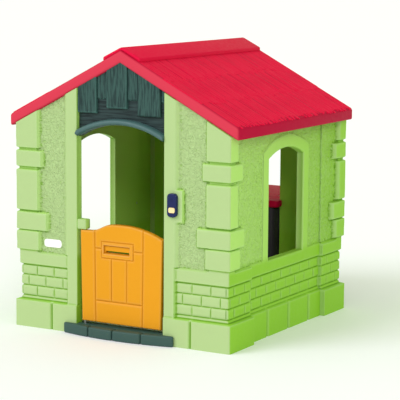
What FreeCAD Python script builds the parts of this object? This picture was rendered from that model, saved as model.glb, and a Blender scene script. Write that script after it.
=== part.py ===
"""Plastic playhouse with a half door, a doorbell and a through-the-wall table.

Millimetres. +X is to the right of the front wall, +Y goes from the front to the back,
+Z is up. The ground is z = 0 and the origin is under the middle of the whole outline.
"""
import FreeCAD, Part
import math
import os

import Sketcher
from FreeCAD import Placement, Rotation, Vector

doc = FreeCAD.newDocument("playhouse")

# ---------------------------------------------------------------- driving dimensions
DIMENSIONS = {
    # footprint and roof
    "base_width": 1040, "base_depth": 1055, "base_height": 116, "wall_depth": 42,
    "roof_half_width": 546, "eave_top": 897, "roof_slope": 0.518, "roof_thickness": 51,
    "gable_setback": 6, "cap_half_width": 88, "cap_edge_height": 16, "cap_crown_height": 13,
    "sky_clearance": 40, "cutter_margin": 60, "cutter_overrun": 100, "cutter_stretch": 1.3,
    "roof_screw_x": 45, "roof_screw_sink": 4, "roof_screw_bite": 40,
    # corner panels: how far each surface stands back from the face of the base
    "corner_run": 205, "stucco_setback": 22, "brick_setback": 18, "band_setback": 13,
    "quoin_setback": 4, "band_foot": 265, "band_head": 320,
    "core_setback": 13, "core_run": 100, "core_side_run": 56,
    "quoin1_foot": 762, "quoin1_head": 900, "quoin1_run": 111, "quoin1_side_run": 66,
    "quoin2_foot": 683, "quoin2_head": 747, "quoin2_run": 129, "quoin2_side_run": 103,
    "quoin3_foot": 500, "quoin3_head": 666, "quoin3_run": 111, "quoin3_side_run": 66,
    "quoin4_foot": 416, "quoin4_head": 487, "quoin4_run": 154, "quoin4_side_run": 118,
    "quoin5_foot": 331, "quoin5_head": 407, "quoin5_run": 114, "quoin5_side_run": 88,
    # doorway, its posts, header and step
    "door_half_width": 209, "post_width": 57, "arch_crown": 879, "arch_radius": 412,
    "rim_height": 24, "rim_reach": 8, "rim_drop": 20, "flange_run": 30, "flange_thickness": 14,
    "spring_drop": 58, "lap_lift": 30, "piece_overlap": 1,
    "header_setback": 26, "plank_setback": 11, "board_setback": 20, "board_foot": 977,
    "left_plank_right": -117, "left_plank_foot": 921,
    "middle_plank_left": -68, "middle_plank_right": 29, "middle_plank_foot": 945,
    "right_plank_left": 81, "right_plank_right": 187, "right_plank_foot": 920,
    "step_half_width": 266, "step_height": 44, "step_end_reach": 14, "step_reach": 47,
    # window panels
    "panel_setback": 22, "panel_face_setback": 29, "panel_brick_setback": 33,
    "panel_stucco_setback": 34,
    "panel_inner_setback": 60, "panel_flange_thickness": 18,
    "window_half_width": 155, "window_crown": 772, "window_radius": 343,
    "frame_width": 49, "sill_height": 318,
    # half door
    "door_left": -195, "door_right": 200, "door_draft": 7, "door_foot": 56, "door_shoulder": 426,
    "door_crown": 471, "door_dip": 436, "dip_end": -146, "swoop_end": -100,
    "door_setback": 10, "door_thickness": 28,
    "hinge_x": -180, "pin_radius": 6, "pin_clearance": 0.08, "pin_depth": 40, "pin_slack": 2,
    "socket_depth": 25, "block_width": 44, "block_foot": 439, "block_head": 481, "bore_rise": 30,
    "slot_left": -81, "slot_right": 46, "slot_foot": 347, "slot_head": 382, "slot_corner": 6,
    "slot_recess": 7, "slit_height": 9, "slit_rise": 3, "slit_inset": 6,
    # doorbell
    "bell_x": 254, "bell_z": 575, "bell_width": 44, "bell_height": 96, "bell_depth": 14,
    "bell_corner": 16, "bell_wall": 2.2, "bell_edge": 4,
    "tab_outer": 295, "tab_foot": 506, "tab_head": 635, "tab_overlap": 5,
    "sound_hole_radius": 1.2, "sound_hole_pitch": 6, "sound_hole_rise": 18,
    "button_x": 256, "button_z": 556, "button_width": 28, "button_height": 21,
    "button_corner": 6.5, "button_gap": 0.4, "button_proud": 3.5, "button_slack": 0.1,
    "skirt_reach": 2, "skirt_corner": 7, "skirt_thickness": 1.2,
    "spring_radius": 4, "spring_turns": 4, "wire_radius": 0.4,
    "pocket_width": 34, "pocket_height": 78, "pocket_depth": 24,
    "board_width": 34, "board_height": 74, "board_thickness": 1.6, "board_lead": 4,
    "speaker_radius": 13, "speaker_rise": 24, "tray_wall": 1.5, "tray_clearance": 1,
    "battery_radius": 5.1, "battery_length": 44, "battery_gap": 0.4,
    # table and badge
    "table_top_height": 471, "table_thickness": 31, "table_reach": 375, "table_half_width": 228,
    "table_gap": 5, "ledge_reach": 62, "wall_gap": 1, "neck_overlap": 10,
    "pedestal_half_width": 203, "pedestal_reach": 250, "pedestal_ledge": 50,
    "pedestal_lap_height": 320, "top_screw_x": 150, "top_screw_near": 60, "top_screw_far": 210,
    "top_screw_bite": 25, "badge_x": -339, "badge_z": 364, "badge_width": 88, "badge_height": 34,
    "badge_thickness": 3,
    # screws
    "screw_radius": 2.5, "screw_length": 30, "head_radius": 6, "head_height": 4,
}
SEAM_SCREW_HEIGHTS = (70, 420, 780)
HEADER_SCREW_HEIGHTS = (900, 960)
STEP_SCREW_HEIGHTS = (14, 32)
PEDESTAL_SCREW_HEIGHTS = (60, 260)
QUOIN_COUNT = 5
OVERRUN = 5
SMALLEST_CUT = 1.0

sheet = doc.addObject("Spreadsheet::Sheet", "sizes")
for row, (alias, value) in enumerate(DIMENSIONS.items(), start=1):
    sheet.set("A%d" % row, alias)
    sheet.set("B%d" % row, str(value))
    sheet.setAlias("B%d" % row, alias)
doc.recompute()


class Size:
    """A length that carries both its number and the expression that binds it to the sheet."""

    def __init__(self, number, text):
        self.number = number
        self.text = text

    def __add__(self, other):
        other = as_size(other)
        return Size(self.number + other.number, "(%s + %s)" % (self.text, other.text))

    def __sub__(self, other):
        other = as_size(other)
        return Size(self.number - other.number, "(%s - %s)" % (self.text, other.text))

    def __mul__(self, other):
        other = as_size(other)
        return Size(self.number * other.number, "(%s * %s)" % (self.text, other.text))

    def __truediv__(self, other):
        other = as_size(other)
        return Size(self.number / other.number, "(%s / %s)" % (self.text, other.text))

    def __radd__(self, other):
        return as_size(other) + self

    def __rsub__(self, other):
        return as_size(other) - self

    def __rmul__(self, other):
        return as_size(other) * self

    def __neg__(self):
        return as_size(0) - self


def as_size(value):
    return value if isinstance(value, Size) else Size(float(value), "(%.6g)" % value)


def size(alias):
    return Size(float(sheet.get(alias)), "sizes." + alias)


# ---------------------------------------------------------------- helpers
def box(name, x, y, z):
    """A box between a low and a high value on each axis."""
    solid = doc.addObject("Part::Box", name)
    for side, axis, (low, high) in (("Length", "x", x), ("Width", "y", y), ("Height", "z", z)):
        low, high = as_size(low), as_size(high)
        solid.setExpression(side, (high - low).text)
        solid.setExpression("Placement.Base." + axis, low.text)
    return solid


TURNS = {"x": Rotation(Vector(0, 1, 0), 90), "y": Rotation(Vector(1, 0, 0), -90), "z": Rotation()}


def rod(name, axis, start, radius, length):
    """A cylinder from its start point along +axis."""
    solid = doc.addObject("Part::Cylinder", name)
    solid.Placement = Placement(Vector(), TURNS[axis])
    for letter, place in zip("xyz", start):
        solid.setExpression("Placement.Base." + letter, as_size(place).text)
    solid.setExpression("Radius", as_size(radius).text)
    solid.setExpression("Height", as_size(length).text)
    return solid


def fuse(name, pieces):
    joined = doc.addObject("Part::MultiFuse", name)
    joined.Shapes = pieces
    joined.Refine = True
    return joined


def cut(name, base, tools):
    """The base less every tool."""
    result = doc.addObject("Part::Cut", name)
    result.Base = base
    result.Tool = tools[0] if len(tools) == 1 else fuse(name + "_tools", tools)
    result.Refine = True
    return result


def common(name, first, second):
    result = doc.addObject("Part::Common", name)
    result.Base = first
    result.Tool = second
    return result


def group(name, pieces):
    """Separate solids that share one node, such as a set of screws."""
    bundle = doc.addObject("Part::Compound", name)
    bundle.Links = pieces
    return bundle


def body(name, y=0):
    """A body whose own origin stands at depth y."""
    shell = doc.addObject("PartDesign::Body", name)
    shell.setExpression("Placement.Base.y", as_size(y).text)
    return shell


def sketch(owner, name, depth=0):
    """A sketch on the body's upright XZ plane, moved back into the wall by depth."""
    page = owner.newObject("Sketcher::SketchObject", name)
    plane = [item for item in owner.Origin.OriginFeatures if item.Role == "XZ_Plane"][0]
    page.AttachmentSupport = [(plane, "")]
    page.MapMode = "FlatFace"
    page.setExpression(".AttachmentOffset.Base.z", (-as_size(depth)).text)
    return page


def bound(page, kind, where, value):
    """Adds one dimension to a sketch and ties it to the sheet."""
    value = as_size(value)
    index = page.addConstraint(Sketcher.Constraint(kind, *where, value.number))
    page.setExpression("Constraints[%d]" % index, value.text)


def outline(page, corners, arcs=None):
    """A closed outline through the corners. arcs[i] = (radius, side) bends the edge that
    leaves corner i; side +1 bulges to its left, -1 to its right."""
    arcs = arcs or {}
    points = [Vector(as_size(x).number, as_size(z).number, 0) for x, z in corners]
    edges = []
    for index, start in enumerate(points):
        end = points[(index + 1) % len(points)]
        if index in arcs:
            radius, side = arcs[index]
            reach = as_size(radius).number
            half = (end - start) * 0.5
            left = Vector(-half.y, half.x, 0).normalize()
            drop = math.sqrt(max(reach ** 2 - half.Length ** 2, 0.0))
            centre = start + half - left * (drop * side)
            angles = [math.atan2(p.y - centre.y, p.x - centre.x) for p in (start, end)]
            first, last = (angles[1], angles[0]) if side > 0 else (angles[0], angles[1])
            curve = Part.ArcOfCircle(Part.Circle(centre, Vector(0, 0, 1), reach), first, last)
            ends = (2, 1) if side > 0 else (1, 2)
        else:
            curve = Part.LineSegment(start, end)
            ends = (1, 2)
        edges.append((page.addGeometry(curve, False), ends))
    for index, (edge, ends) in enumerate(edges):
        following, next_ends = edges[(index + 1) % len(edges)]
        join = Sketcher.Constraint("Coincident", edge, ends[1], following, next_ends[0])
        page.addConstraint(join)
        bound(page, "DistanceX", (-1, 1, edge, ends[0]), corners[index][0])
        bound(page, "DistanceY", (-1, 1, edge, ends[0]), corners[index][1])
        if index in arcs:
            bound(page, "Radius", (edge,), arcs[index][0])


def rounded(page, centre, width, height, corner):
    """A rounded rectangle about a centre."""
    x, z = centre
    w, h, r = width / 2, height / 2, corner
    corners = [(x - w + r, z - h), (x + w - r, z - h), (x + w, z - h + r), (x + w, z + h - r),
               (x + w - r, z + h), (x - w + r, z + h), (x - w, z + h - r), (x - w, z - h + r)]
    outline(page, corners, {1: (r, -1), 3: (r, -1), 5: (r, -1), 7: (r, -1)})


def pad(owner, name, page, length):
    """Thickens a sketch towards +Y."""
    feature = owner.newObject("PartDesign::Pad", name)
    feature.Profile = page
    feature.Reversed = True
    feature.setExpression("Length", as_size(length).text)
    page.Visibility = False
    doc.recompute()
    return feature


def pocket(owner, name, page, length):
    """Cuts a sketch out towards +Y, and makes sure that it removed something."""
    before = owner.Shape.Volume
    feature = owner.newObject("PartDesign::Pocket", name)
    feature.Profile = page
    feature.Reversed = False
    feature.setExpression("Length", as_size(length).text)
    doc.recompute()
    if owner.Shape.Volume > before - SMALLEST_CUT:
        feature.Reversed = True
        doc.recompute()
    if owner.Shape.Volume > before - SMALLEST_CUT:
        raise RuntimeError(name + " cuts nothing")
    return feature


nodes = []


def node(label, piece):
    """Names a finished sub-part. The label is also its file's name."""
    piece.Label = label
    nodes.append(piece)
    return piece


# ---------------------------------------------------------------- shared levels and places
half_width = size("base_width") / 2
overall_depth = size("step_reach") + size("base_depth") + size("table_reach")
front = size("step_reach") - overall_depth / 2
back = front + size("base_depth")
wall = size("wall_depth")
slope = size("roof_slope")
roof_top_apex = size("eave_top") + slope * size("roof_half_width")
roof_under_apex = roof_top_apex - size("roof_thickness")
sky = roof_under_apex + size("sky_clearance")
door_half = size("door_half_width")
post_outer = door_half + size("post_width")
window_centre_y = front + size("base_depth") / 2
window_centre_z = size("window_crown") - size("window_radius")
arch_centre_z = size("arch_crown") - size("arch_radius")
pin_radius = size("pin_radius")


def roof_cutters(label):
    """Two tilted blocks that take away everything above the underside of the roof."""
    run = size("roof_half_width") + size("cutter_margin")
    overrun = size("cutter_overrun")
    blocks = []
    for side in (-1, 1):
        block = doc.addObject("Part::Box", "%s_sky_%s" % (label, "left" if side < 0 else "right"))
        block.Placement = Placement(Vector(), Rotation(Vector(0, side, 0), 1))
        block.setExpression("Placement.Rotation.Angle", "atan(sizes.roof_slope)")
        block.setExpression("Length", (run * size("cutter_stretch")).text)
        block.setExpression("Width", (overall_depth + overrun * 2).text)
        block.setExpression("Height", run.text)
        block.setExpression("Placement.Base.y", (-(overall_depth / 2) - overrun).text)
        if side < 0:
            block.setExpression("Placement.Base.x", (-run).text)
            block.setExpression("Placement.Base.z", (roof_under_apex - slope * run).text)
        else:
            block.setExpression("Placement.Base.z", roof_under_apex.text)
        blocks.append(block)
    return blocks


# ---------------------------------------------------------------- corner panels
def corner_box(name, side, end, along, inward, z):
    """A box in a corner's own measures: along runs from the corner towards the doorway
    and inward runs from the gable face into the house."""
    low, high = as_size(along[0]), as_size(along[1])
    x = (-half_width + low, -half_width + high) if side < 0 else (half_width - high, half_width - low)
    low, high = as_size(inward[0]), as_size(inward[1])
    y = (front + low, front + high) if end < 0 else (back - high, back - low)
    return box(name, x, y, z)


def corner_panel(label, side, end, extra=(), holes=()):
    """An L-shaped panel: half a gable wall and the return of the side wall."""
    run, base = size("corner_run"), size("base_height")
    doorway = half_width - door_half
    post_start = half_width - post_outer
    foot, head = size("band_foot"), size("band_head")
    layers = [
        ("base", as_size(0), as_size(0), base, doorway, run),
        ("brick", size("brick_setback"), base, foot, post_start, run),
        ("band", size("band_setback"), foot, head, post_start, run),
        ("stucco", size("stucco_setback"), head, sky, post_start, run),
        ("core", size("core_setback"), head, sky, size("core_run"), size("core_side_run")),
    ]
    for number in range(1, QUOIN_COUNT + 1):
        course = "quoin%d" % number
        layers.append((course, size("quoin_setback"), size(course + "_foot"),
                       size(course + "_head"), size(course + "_run"), size(course + "_side_run")))
    pieces = []
    for name, setback, low, high, reach, side_reach in layers:
        tag = "%s_%s" % (label, name)
        pieces.append(corner_box(tag + "_gable", side, end, (setback, reach), (setback, wall),
                                 (low, high)))
        pieces.append(corner_box(tag + "_side", side, end, (setback, wall), (setback, side_reach),
                                 (low, high)))
    pieces.append(corner_box(label + "_post", side, end, (post_start, doorway),
                             (size("gable_setback"), wall), (base, sky)))
    shape = fuse(label + "_blank", pieces + list(extra))
    return node(label, cut(label, shape, roof_cutters(label) + list(holes)))


# ---------------------------------------------------------------- screws
def screw(name, axis, sign, head_at, length=None):
    """One screw whose head's outer face is at head_at and whose shank points along sign * axis."""
    length = length or size("screw_length")
    letters = "xyz".index(axis)
    head, shank = list(head_at), list(head_at)
    if sign < 0:
        head[letters] = head[letters] - size("head_height")
        shank[letters] = shank[letters] - length
    parts = [rod(name + "_head", axis, head, size("head_radius"), size("head_height")),
             rod(name + "_shank", axis, shank, size("screw_radius"), length)]
    return fuse(name, parts)


def screws(places, label, axis, length=None):
    """A screw at every (sign, point). The same solids, cut from a part, are its screw holes."""
    return [screw("%s_%d" % (label, number), axis, sign, point, length)
            for number, (sign, point) in enumerate(places, start=1)]


# seams between window panels and corner panels: heads inside the room
flange_middle = size("flange_run") / 2
seam_inner = half_width - size("panel_inner_setback")
seam_places = {}
for side in (-1, 1):
    for end in (-1, 1):
        depth = (front + size("corner_run") - flange_middle if end < 0
                 else back - size("corner_run") + flange_middle)
        seam_places[side, end] = [(side, (seam_inner * side, depth, height))
                                  for height in SEAM_SCREW_HEIGHTS]

# header and step screws: heads inside the room, shanks into the posts
lap_x = door_half + size("flange_run") / 2
inner_face = wall + size("flange_thickness")
lap_places = {}
for name, end, heights in (("front_header", -1, HEADER_SCREW_HEIGHTS),
                           ("back_header", 1, HEADER_SCREW_HEIGHTS),
                           ("step", -1, STEP_SCREW_HEIGHTS)):
    depth = front + inner_face if end < 0 else back - inner_face
    lap_places[name] = [(end, (lap_x * side, depth, height)) for side in (-1, 1) for height in heights]
pedestal_places = [(-1, (lap_x * side, back + size("flange_thickness"), height))
                   for side in (-1, 1) for height in PEDESTAL_SCREW_HEIGHTS]


def corner_holes(label, side, end):
    """Every screw hole that runs into one corner panel."""
    holes = screws(seam_places[side, end], label + "_seam_hole", "x")
    wanted = ["front_header", "step"] if end < 0 else ["back_header"]
    for name in wanted:
        mine = [spot for spot in lap_places[name] if spot[1][0].number * side > 0]
        holes += screws(mine, "%s_%s_hole" % (label, name), "y")
    if end > 0:
        mine = [spot for spot in pedestal_places if spot[1][0].number * side > 0]
        holes += screws(mine, label + "_pedestal_hole", "y")
    return holes


# ---------------------------------------------------------------- doorbell places
bell_x, bell_z = size("bell_x"), size("bell_z")
post_face = front + size("gable_setback")
bell_front = post_face - size("bell_depth")
pocket_y = (post_face, post_face + size("pocket_depth"))


def about(centre, width):
    """The low and high values of a width about its centre."""
    return (centre - width / 2, centre + width / 2)


bell_tab = box("bell_tab", (post_outer - size("tab_overlap"), size("tab_outer")), (post_face, front + wall),
               (size("tab_foot"), size("tab_head")))
bell_pocket = box("bell_pocket", about(bell_x, size("pocket_width")), pocket_y,
                  about(bell_z, size("pocket_height")))

corner_panel("front_left_corner_panel", -1, -1, (), corner_holes("front_left", -1, -1))
corner_panel("front_right_corner_panel", 1, -1, (bell_tab,),
             corner_holes("front_right", 1, -1) + [bell_pocket])
corner_panel("back_left_corner_panel", -1, 1, (), corner_holes("back_left", -1, 1))
corner_panel("back_right_corner_panel", 1, 1, (), corner_holes("back_right", 1, 1))


# ---------------------------------------------------------------- window panels
def arched_hole(name, x, half, radius, sill):
    """An arched column along X: a tall box with a round top."""
    y = (window_centre_y - half, window_centre_y + half)
    column = box(name + "_column", x, y, (sill, sky))
    barrel = rod(name + "_barrel", "x", (x[0], window_centre_y, window_centre_z), radius,
                 as_size(x[1]) - as_size(x[0]))
    return common(name, column, barrel)


def window_panel(label, side):
    """The recessed middle of a side wall, with its arched window and lapping flanges."""
    def across(outer, inner):
        low, high = half_width - inner, half_width - outer
        return (low, high) if side > 0 else (-high, -low)

    inner = size("panel_inner_setback")
    y = (front + size("corner_run"), back - size("corner_run"))
    lap = size("flange_run")
    base, head = size("base_height"), size("band_head")
    face = size("panel_face_setback")
    lap_outer = inner - size("panel_flange_thickness")
    pieces = [
        box(label + "_base", across(size("panel_setback"), inner), y, (0, base)),
        box(label + "_bricks", across(size("panel_brick_setback"), inner), y, (base, size("band_foot"))),
        box(label + "_band", across(face, inner), y, (size("band_foot"), head)),
        box(label + "_stucco", across(size("panel_stucco_setback"), inner), y, (head, sky)),
        box(label + "_flanges", across(lap_outer, inner), (y[0] - lap, y[1] + lap), (0, sky)),
        arched_hole(label + "_frame", across(face, inner), size("window_half_width") + size("frame_width"),
                    size("window_radius") + size("frame_width"), head),
    ]
    opening = arched_hole(label + "_opening", across(0, inner + OVERRUN), size("window_half_width"),
                          size("window_radius"), size("sill_height"))
    holes = []
    for end in (-1, 1):
        holes += screws(seam_places[side, end], "%s_hole_%d" % (label, end + 1), "x")
    blank = fuse(label + "_blank", pieces)
    return node(label, cut(label, blank, [opening] + roof_cutters(label) + holes))


window_panel("left_window_panel", -1)
window_panel("right_window_panel", 1)
for side, label in ((-1, "left"), (1, "right")):
    places = seam_places[side, -1] + seam_places[side, 1]
    node(label + "_seam_screws", group(label + "_seam_screws",
                                       screws(places, label + "_seam_screw", "x")))


# ---------------------------------------------------------------- headers
def header(label, end, pieces):
    """The panel between two posts: an arched sheet that laps behind them, plus its own pieces."""
    def deep(outer, inner):
        return (front + outer, front + inner) if end < 0 else (back - inner, back - outer)

    lap = door_half + size("flange_run")
    spring = size("arch_crown") - size("spring_drop")
    blank = [
        box(label + "_sheet", (-door_half, door_half), deep(size("header_setback"), inner_face),
            (spring, sky)),
        box(label + "_lap", (-lap, lap), deep(wall, inner_face), (spring + size("lap_lift"), sky)),
    ]
    rim_y = deep(-size("rim_reach"), inner_face)
    rim_slab = box(label + "_rim_slab", (-door_half, door_half), rim_y,
                   (spring - size("rim_drop"), sky))
    rim_barrel = rod(label + "_rim_barrel", "y", (0, rim_y[0], arch_centre_z),
                     size("arch_radius") + size("rim_height"), rim_y[1] - rim_y[0])
    blank.append(common(label + "_rim", rim_slab, rim_barrel))
    blank += [box("%s_%s" % (label, name), x, deep(outer, size("header_setback") + size("piece_overlap")), z)
              for name, x, outer, z in pieces]
    opening = rod(label + "_opening", "y", (0, rim_y[0] - OVERRUN, arch_centre_z),
                  size("arch_radius"), rim_y[1] - rim_y[0] + OVERRUN * 2)
    holes = screws(lap_places[label], label + "_hole", "y")
    roof_holes = screws(roof_screw_places[end], label + "_roof_hole", "z", roof_screw_length)
    shape = fuse(label + "_blank", blank)
    return node(label + "_panel", cut(label + "_panel", shape,
                                      [opening] + roof_cutters(label) + holes + roof_holes))


# screws that hold the roof to the headers, hidden under the ridge cap
roof_screw_x = size("roof_screw_x")
roof_screw_length = size("roof_thickness") + size("roof_screw_bite")
roof_screw_top = roof_top_apex - slope * roof_screw_x - size("roof_screw_sink")
header_middle = (size("header_setback") + inner_face) / 2
roof_screw_places = {
    end: [(-1, (roof_screw_x * side, depth, roof_screw_top)) for side in (-1, 1)]
    for end, depth in ((-1, front + header_middle), (1, back - header_middle))}

plank, board = size("plank_setback"), size("board_setback")
planks = [
    ("left_plank", (-door_half, size("left_plank_right")), plank, (size("left_plank_foot"), sky)),
    ("middle_plank", (size("middle_plank_left"), size("middle_plank_right")), plank,
     (size("middle_plank_foot"), sky)),
    ("right_plank", (size("right_plank_left"), size("right_plank_right")), plank,
     (size("right_plank_foot"), sky)),
    ("upper_board", (-door_half, door_half), board, (size("board_foot"), sky)),
]
header("front_header", -1, planks)
header("back_header", 1, [])
for label in ("front_header", "back_header"):
    node(label + "_screws", group(label + "_screws",
                                  screws(lap_places[label], label + "_screw", "y")))


# ---------------------------------------------------------------- roof
def roof_panel(label, side):
    """One sloping slab, cut plumb at its ridge and eave."""
    slab = body(label + "_blank", front)
    page = sketch(slab, label + "_section", size("gable_setback"))
    edge = size("roof_half_width") * side
    thick = size("roof_thickness")
    eave = size("eave_top")
    outline(page, [(0, roof_under_apex), (edge, eave - thick), (edge, eave), (0, roof_top_apex)])
    pad(slab, label + "_slab", page, size("base_depth") - size("gable_setback") * 2)
    holes = [spot for end in (-1, 1) for spot in roof_screw_places[end]
             if spot[1][0].number * side > 0]
    return node(label, cut(label, slab, screws(holes, label + "_hole", "z", roof_screw_length)))


roof_panel("left_roof_panel", -1)
roof_panel("right_roof_panel", 1)
all_roof_screws = roof_screw_places[-1] + roof_screw_places[1]
node("roof_screws", group("roof_screws",
                          screws(all_roof_screws, "roof_screw", "z", roof_screw_length)))

cap = node("ridge_cap", body("ridge_cap", front))
cap_page = sketch(cap, "ridge_cap_section", size("gable_setback"))
cap_half = size("cap_half_width")
cap_foot = roof_top_apex - slope * cap_half
outline(cap_page, [(-cap_half, cap_foot), (0, roof_top_apex), (cap_half, cap_foot),
                   (cap_half, cap_foot + size("cap_edge_height")),
                   (0, roof_top_apex + size("cap_crown_height")),
                   (-cap_half, cap_foot + size("cap_edge_height"))])
pad(cap, "ridge_cap_length", cap_page, size("base_depth") - size("gable_setback") * 2)


# ---------------------------------------------------------------- step
step_half, reach = size("step_half_width"), size("step_end_reach")
rise = size("step_reach") - reach
step_radius = (step_half.number ** 2 + rise.number ** 2) / (2 * rise.number)
bow = Size(step_radius, "((%s ^ 2 + %s ^ 2) / (2 * %s))" % (step_half.text, rise.text, rise.text))
step_block = box("step_block", (-step_half, step_half), (front - size("step_reach"), front),
                 (0, size("step_height")))
step_barrel = rod("step_barrel", "z", (0, front - size("step_reach") + bow, 0), bow,
                  size("step_height"))
step_front = common("step_front", step_block, step_barrel)
step_sill = box("step_sill", (-door_half, door_half), (front, front + inner_face),
                (0, size("step_height")))
step_lap_x = door_half + size("flange_run")
step_lap = box("step_lap", (-step_lap_x, step_lap_x), (front + wall, front + inner_face),
               (0, size("step_height")))
hinge_x = size("hinge_x")
hinge_y = front + size("door_setback") + size("door_thickness") / 2
socket_floor = size("step_height") - size("socket_depth")
lower_socket = rod("lower_socket", "z", (hinge_x, hinge_y, socket_floor), pin_radius,
                   size("socket_depth") + OVERRUN)
node("door_step", cut("door_step", fuse("step_blank", [step_front, step_sill, step_lap]),
                      [lower_socket] + screws(lap_places["step"], "step_hole", "y")))
node("step_screws", group("step_screws", screws(lap_places["step"], "step_screw", "y")))


# ---------------------------------------------------------------- half door
door_left, door_right, draft = size("door_left"), size("door_right"), size("door_draft")
shoulder, dip = size("door_shoulder"), size("door_dip")
door_rise = size("door_crown") - shoulder
door_chord = (door_right - door_left) / 2
crown_radius = (door_chord.number ** 2 + door_rise.number ** 2) / (2 * door_rise.number)
crown = Size(crown_radius, "((%s ^ 2 + %s ^ 2) / (2 * %s))"
             % (door_chord.text, door_rise.text, door_rise.text))
door_middle = (door_left + door_right) / 2
swoop_x = size("swoop_end")
swoop_drop = (swoop_x - door_middle).number
swoop_z = Size(size("door_crown").number - crown.number
               + math.sqrt(crown.number ** 2 - swoop_drop ** 2),
               "(%s - %s + sqrt(%s ^ 2 - (%s) ^ 2))"
               % (size("door_crown").text, crown.text, crown.text, (swoop_x - door_middle).text))
leaf = body("door_leaf", front)
leaf_page = sketch(leaf, "door_outline", size("door_setback"))
outline(leaf_page, [(door_left + draft, size("door_foot")), (door_right - draft, size("door_foot")),
                    (door_right, shoulder), (swoop_x, swoop_z), (size("dip_end"), dip),
                    (door_left, dip)], {2: (crown, -1)})
pad(leaf, "door_slab", leaf_page, size("door_thickness"))
recess_page = sketch(leaf, "slot_recess_outline", size("door_setback"))
slot_middle = ((size("slot_left") + size("slot_right")) / 2,
               (size("slot_foot") + size("slot_head")) / 2)
slot_width = size("slot_right") - size("slot_left")
rounded(recess_page, slot_middle, slot_width, size("slot_head") - size("slot_foot"),
        size("slot_corner"))
pocket(leaf, "slot_recess", recess_page, size("slot_recess"))
slit_page = sketch(leaf, "slit_outline", size("door_setback"))
slit_low = size("slot_foot") + size("slit_rise")
slit_high = slit_low + size("slit_height")
slit_ends = (size("slot_left") + size("slit_inset"), size("slot_right") - size("slit_inset"))
outline(slit_page, [(slit_ends[0], slit_low), (slit_ends[1], slit_low), (slit_ends[1], slit_high),
                    (slit_ends[0], slit_high)])
pocket(leaf, "mail_slit", slit_page, size("door_thickness"))
bore_radius = pin_radius + size("pin_clearance")
upper_bore = rod("upper_bore", "z", (hinge_x, hinge_y, dip - size("pin_depth")), bore_radius,
                 size("pin_depth") + OVERRUN)
lower_bore = rod("lower_bore", "z", (hinge_x, hinge_y, size("door_foot") - OVERRUN), bore_radius,
                 size("pin_depth") + OVERRUN)
node("half_door", cut("half_door", leaf, [upper_bore, lower_bore]))

block_left = -door_half
hinge_block = box("hinge_block_blank", (block_left, block_left + size("block_width")),
                  (post_face, front + wall), (size("block_foot"), size("block_head")))
block_bore = rod("block_bore", "z", (hinge_x, hinge_y, size("block_foot") - OVERRUN), pin_radius,
                 size("bore_rise") + OVERRUN)
node("hinge_block", cut("hinge_block", hinge_block, [block_bore]))
upper_pin_foot = dip - size("pin_depth") + size("pin_slack")
upper_pin_head = size("block_foot") + size("bore_rise")
node("upper_hinge_pin", rod("upper_hinge_pin", "z", (hinge_x, hinge_y, upper_pin_foot), pin_radius,
                            upper_pin_head - upper_pin_foot))
lower_pin_head = size("door_foot") + size("pin_depth") - size("pin_slack")
node("lower_hinge_pin", rod("lower_hinge_pin", "z", (hinge_x, hinge_y, socket_floor), pin_radius,
                            lower_pin_head - socket_floor))


# ---------------------------------------------------------------- doorbell
case = body("bell_shell", post_face - size("bell_depth"))
case_page = sketch(case, "bell_case_outline")
middle = (bell_x, bell_z)
rounded(case_page, middle, size("bell_width"), size("bell_height"), size("bell_corner"))
case_block = pad(case, "bell_case_block", case_page, size("bell_depth"))
case_edges = case_block.Shape.Edges
case_front = min(vertex.Y for edge in case_edges for vertex in edge.Vertexes)
rim_edges = ["Edge%d" % (index + 1) for index, edge in enumerate(case_edges)
             if all(abs(vertex.Y - case_front) < 0.01 for vertex in edge.Vertexes)]
soften = case.newObject("PartDesign::Fillet", "bell_case_edge")
soften.Base = (case_block, rim_edges)
soften.setExpression("Radius", size("bell_edge").text)
doc.recompute()
bell_wall = size("bell_wall")
hollow_page = sketch(case, "bell_hollow_outline", bell_wall)
rounded(hollow_page, middle, size("bell_width") - bell_wall * 2, size("bell_height") - bell_wall * 2,
        size("bell_corner") - bell_wall)
pocket(case, "bell_hollow", hollow_page, size("bell_depth"))
gap = size("button_gap")
button_middle = (size("button_x"), size("button_z"))
window_page = sketch(case, "button_window_outline")
rounded(window_page, button_middle, size("button_width") + gap * 2, size("button_height") + gap * 2,
        size("button_corner") + gap)
pocket(case, "button_window", window_page, bell_wall)
hole_pitch = size("sound_hole_pitch")
sound_holes = [rod("sound_hole_%d_%d" % (row, column), "y",
                   (bell_x + hole_pitch * (column - 1), bell_front - OVERRUN,
                    bell_z + size("sound_hole_rise") + hole_pitch * row),
                   size("sound_hole_radius"), bell_wall + OVERRUN * 2)
               for row in range(3) for column in range(3)]
node("bell_case", cut("bell_case", case, sound_holes))

slack, skirt, wire_radius = size("button_slack"), size("skirt_thickness"), size("wire_radius")
button = body("bell_button", bell_front - size("button_proud"))
button_page = sketch(button, "button_outline")
rounded(button_page, button_middle, size("button_width"), size("button_height"),
        size("button_corner"))
cap_length = size("button_proud") + bell_wall + slack
pad(button, "button_cap", button_page, cap_length)
skirt_page = sketch(button, "button_skirt_outline", cap_length)
skirt_growth = size("skirt_reach") * 2
rounded(skirt_page, button_middle, size("button_width") + skirt_growth,
        size("button_height") + skirt_growth, size("skirt_corner"))
pad(button, "button_skirt", skirt_page, skirt)
node("bell_button", button)

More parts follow.
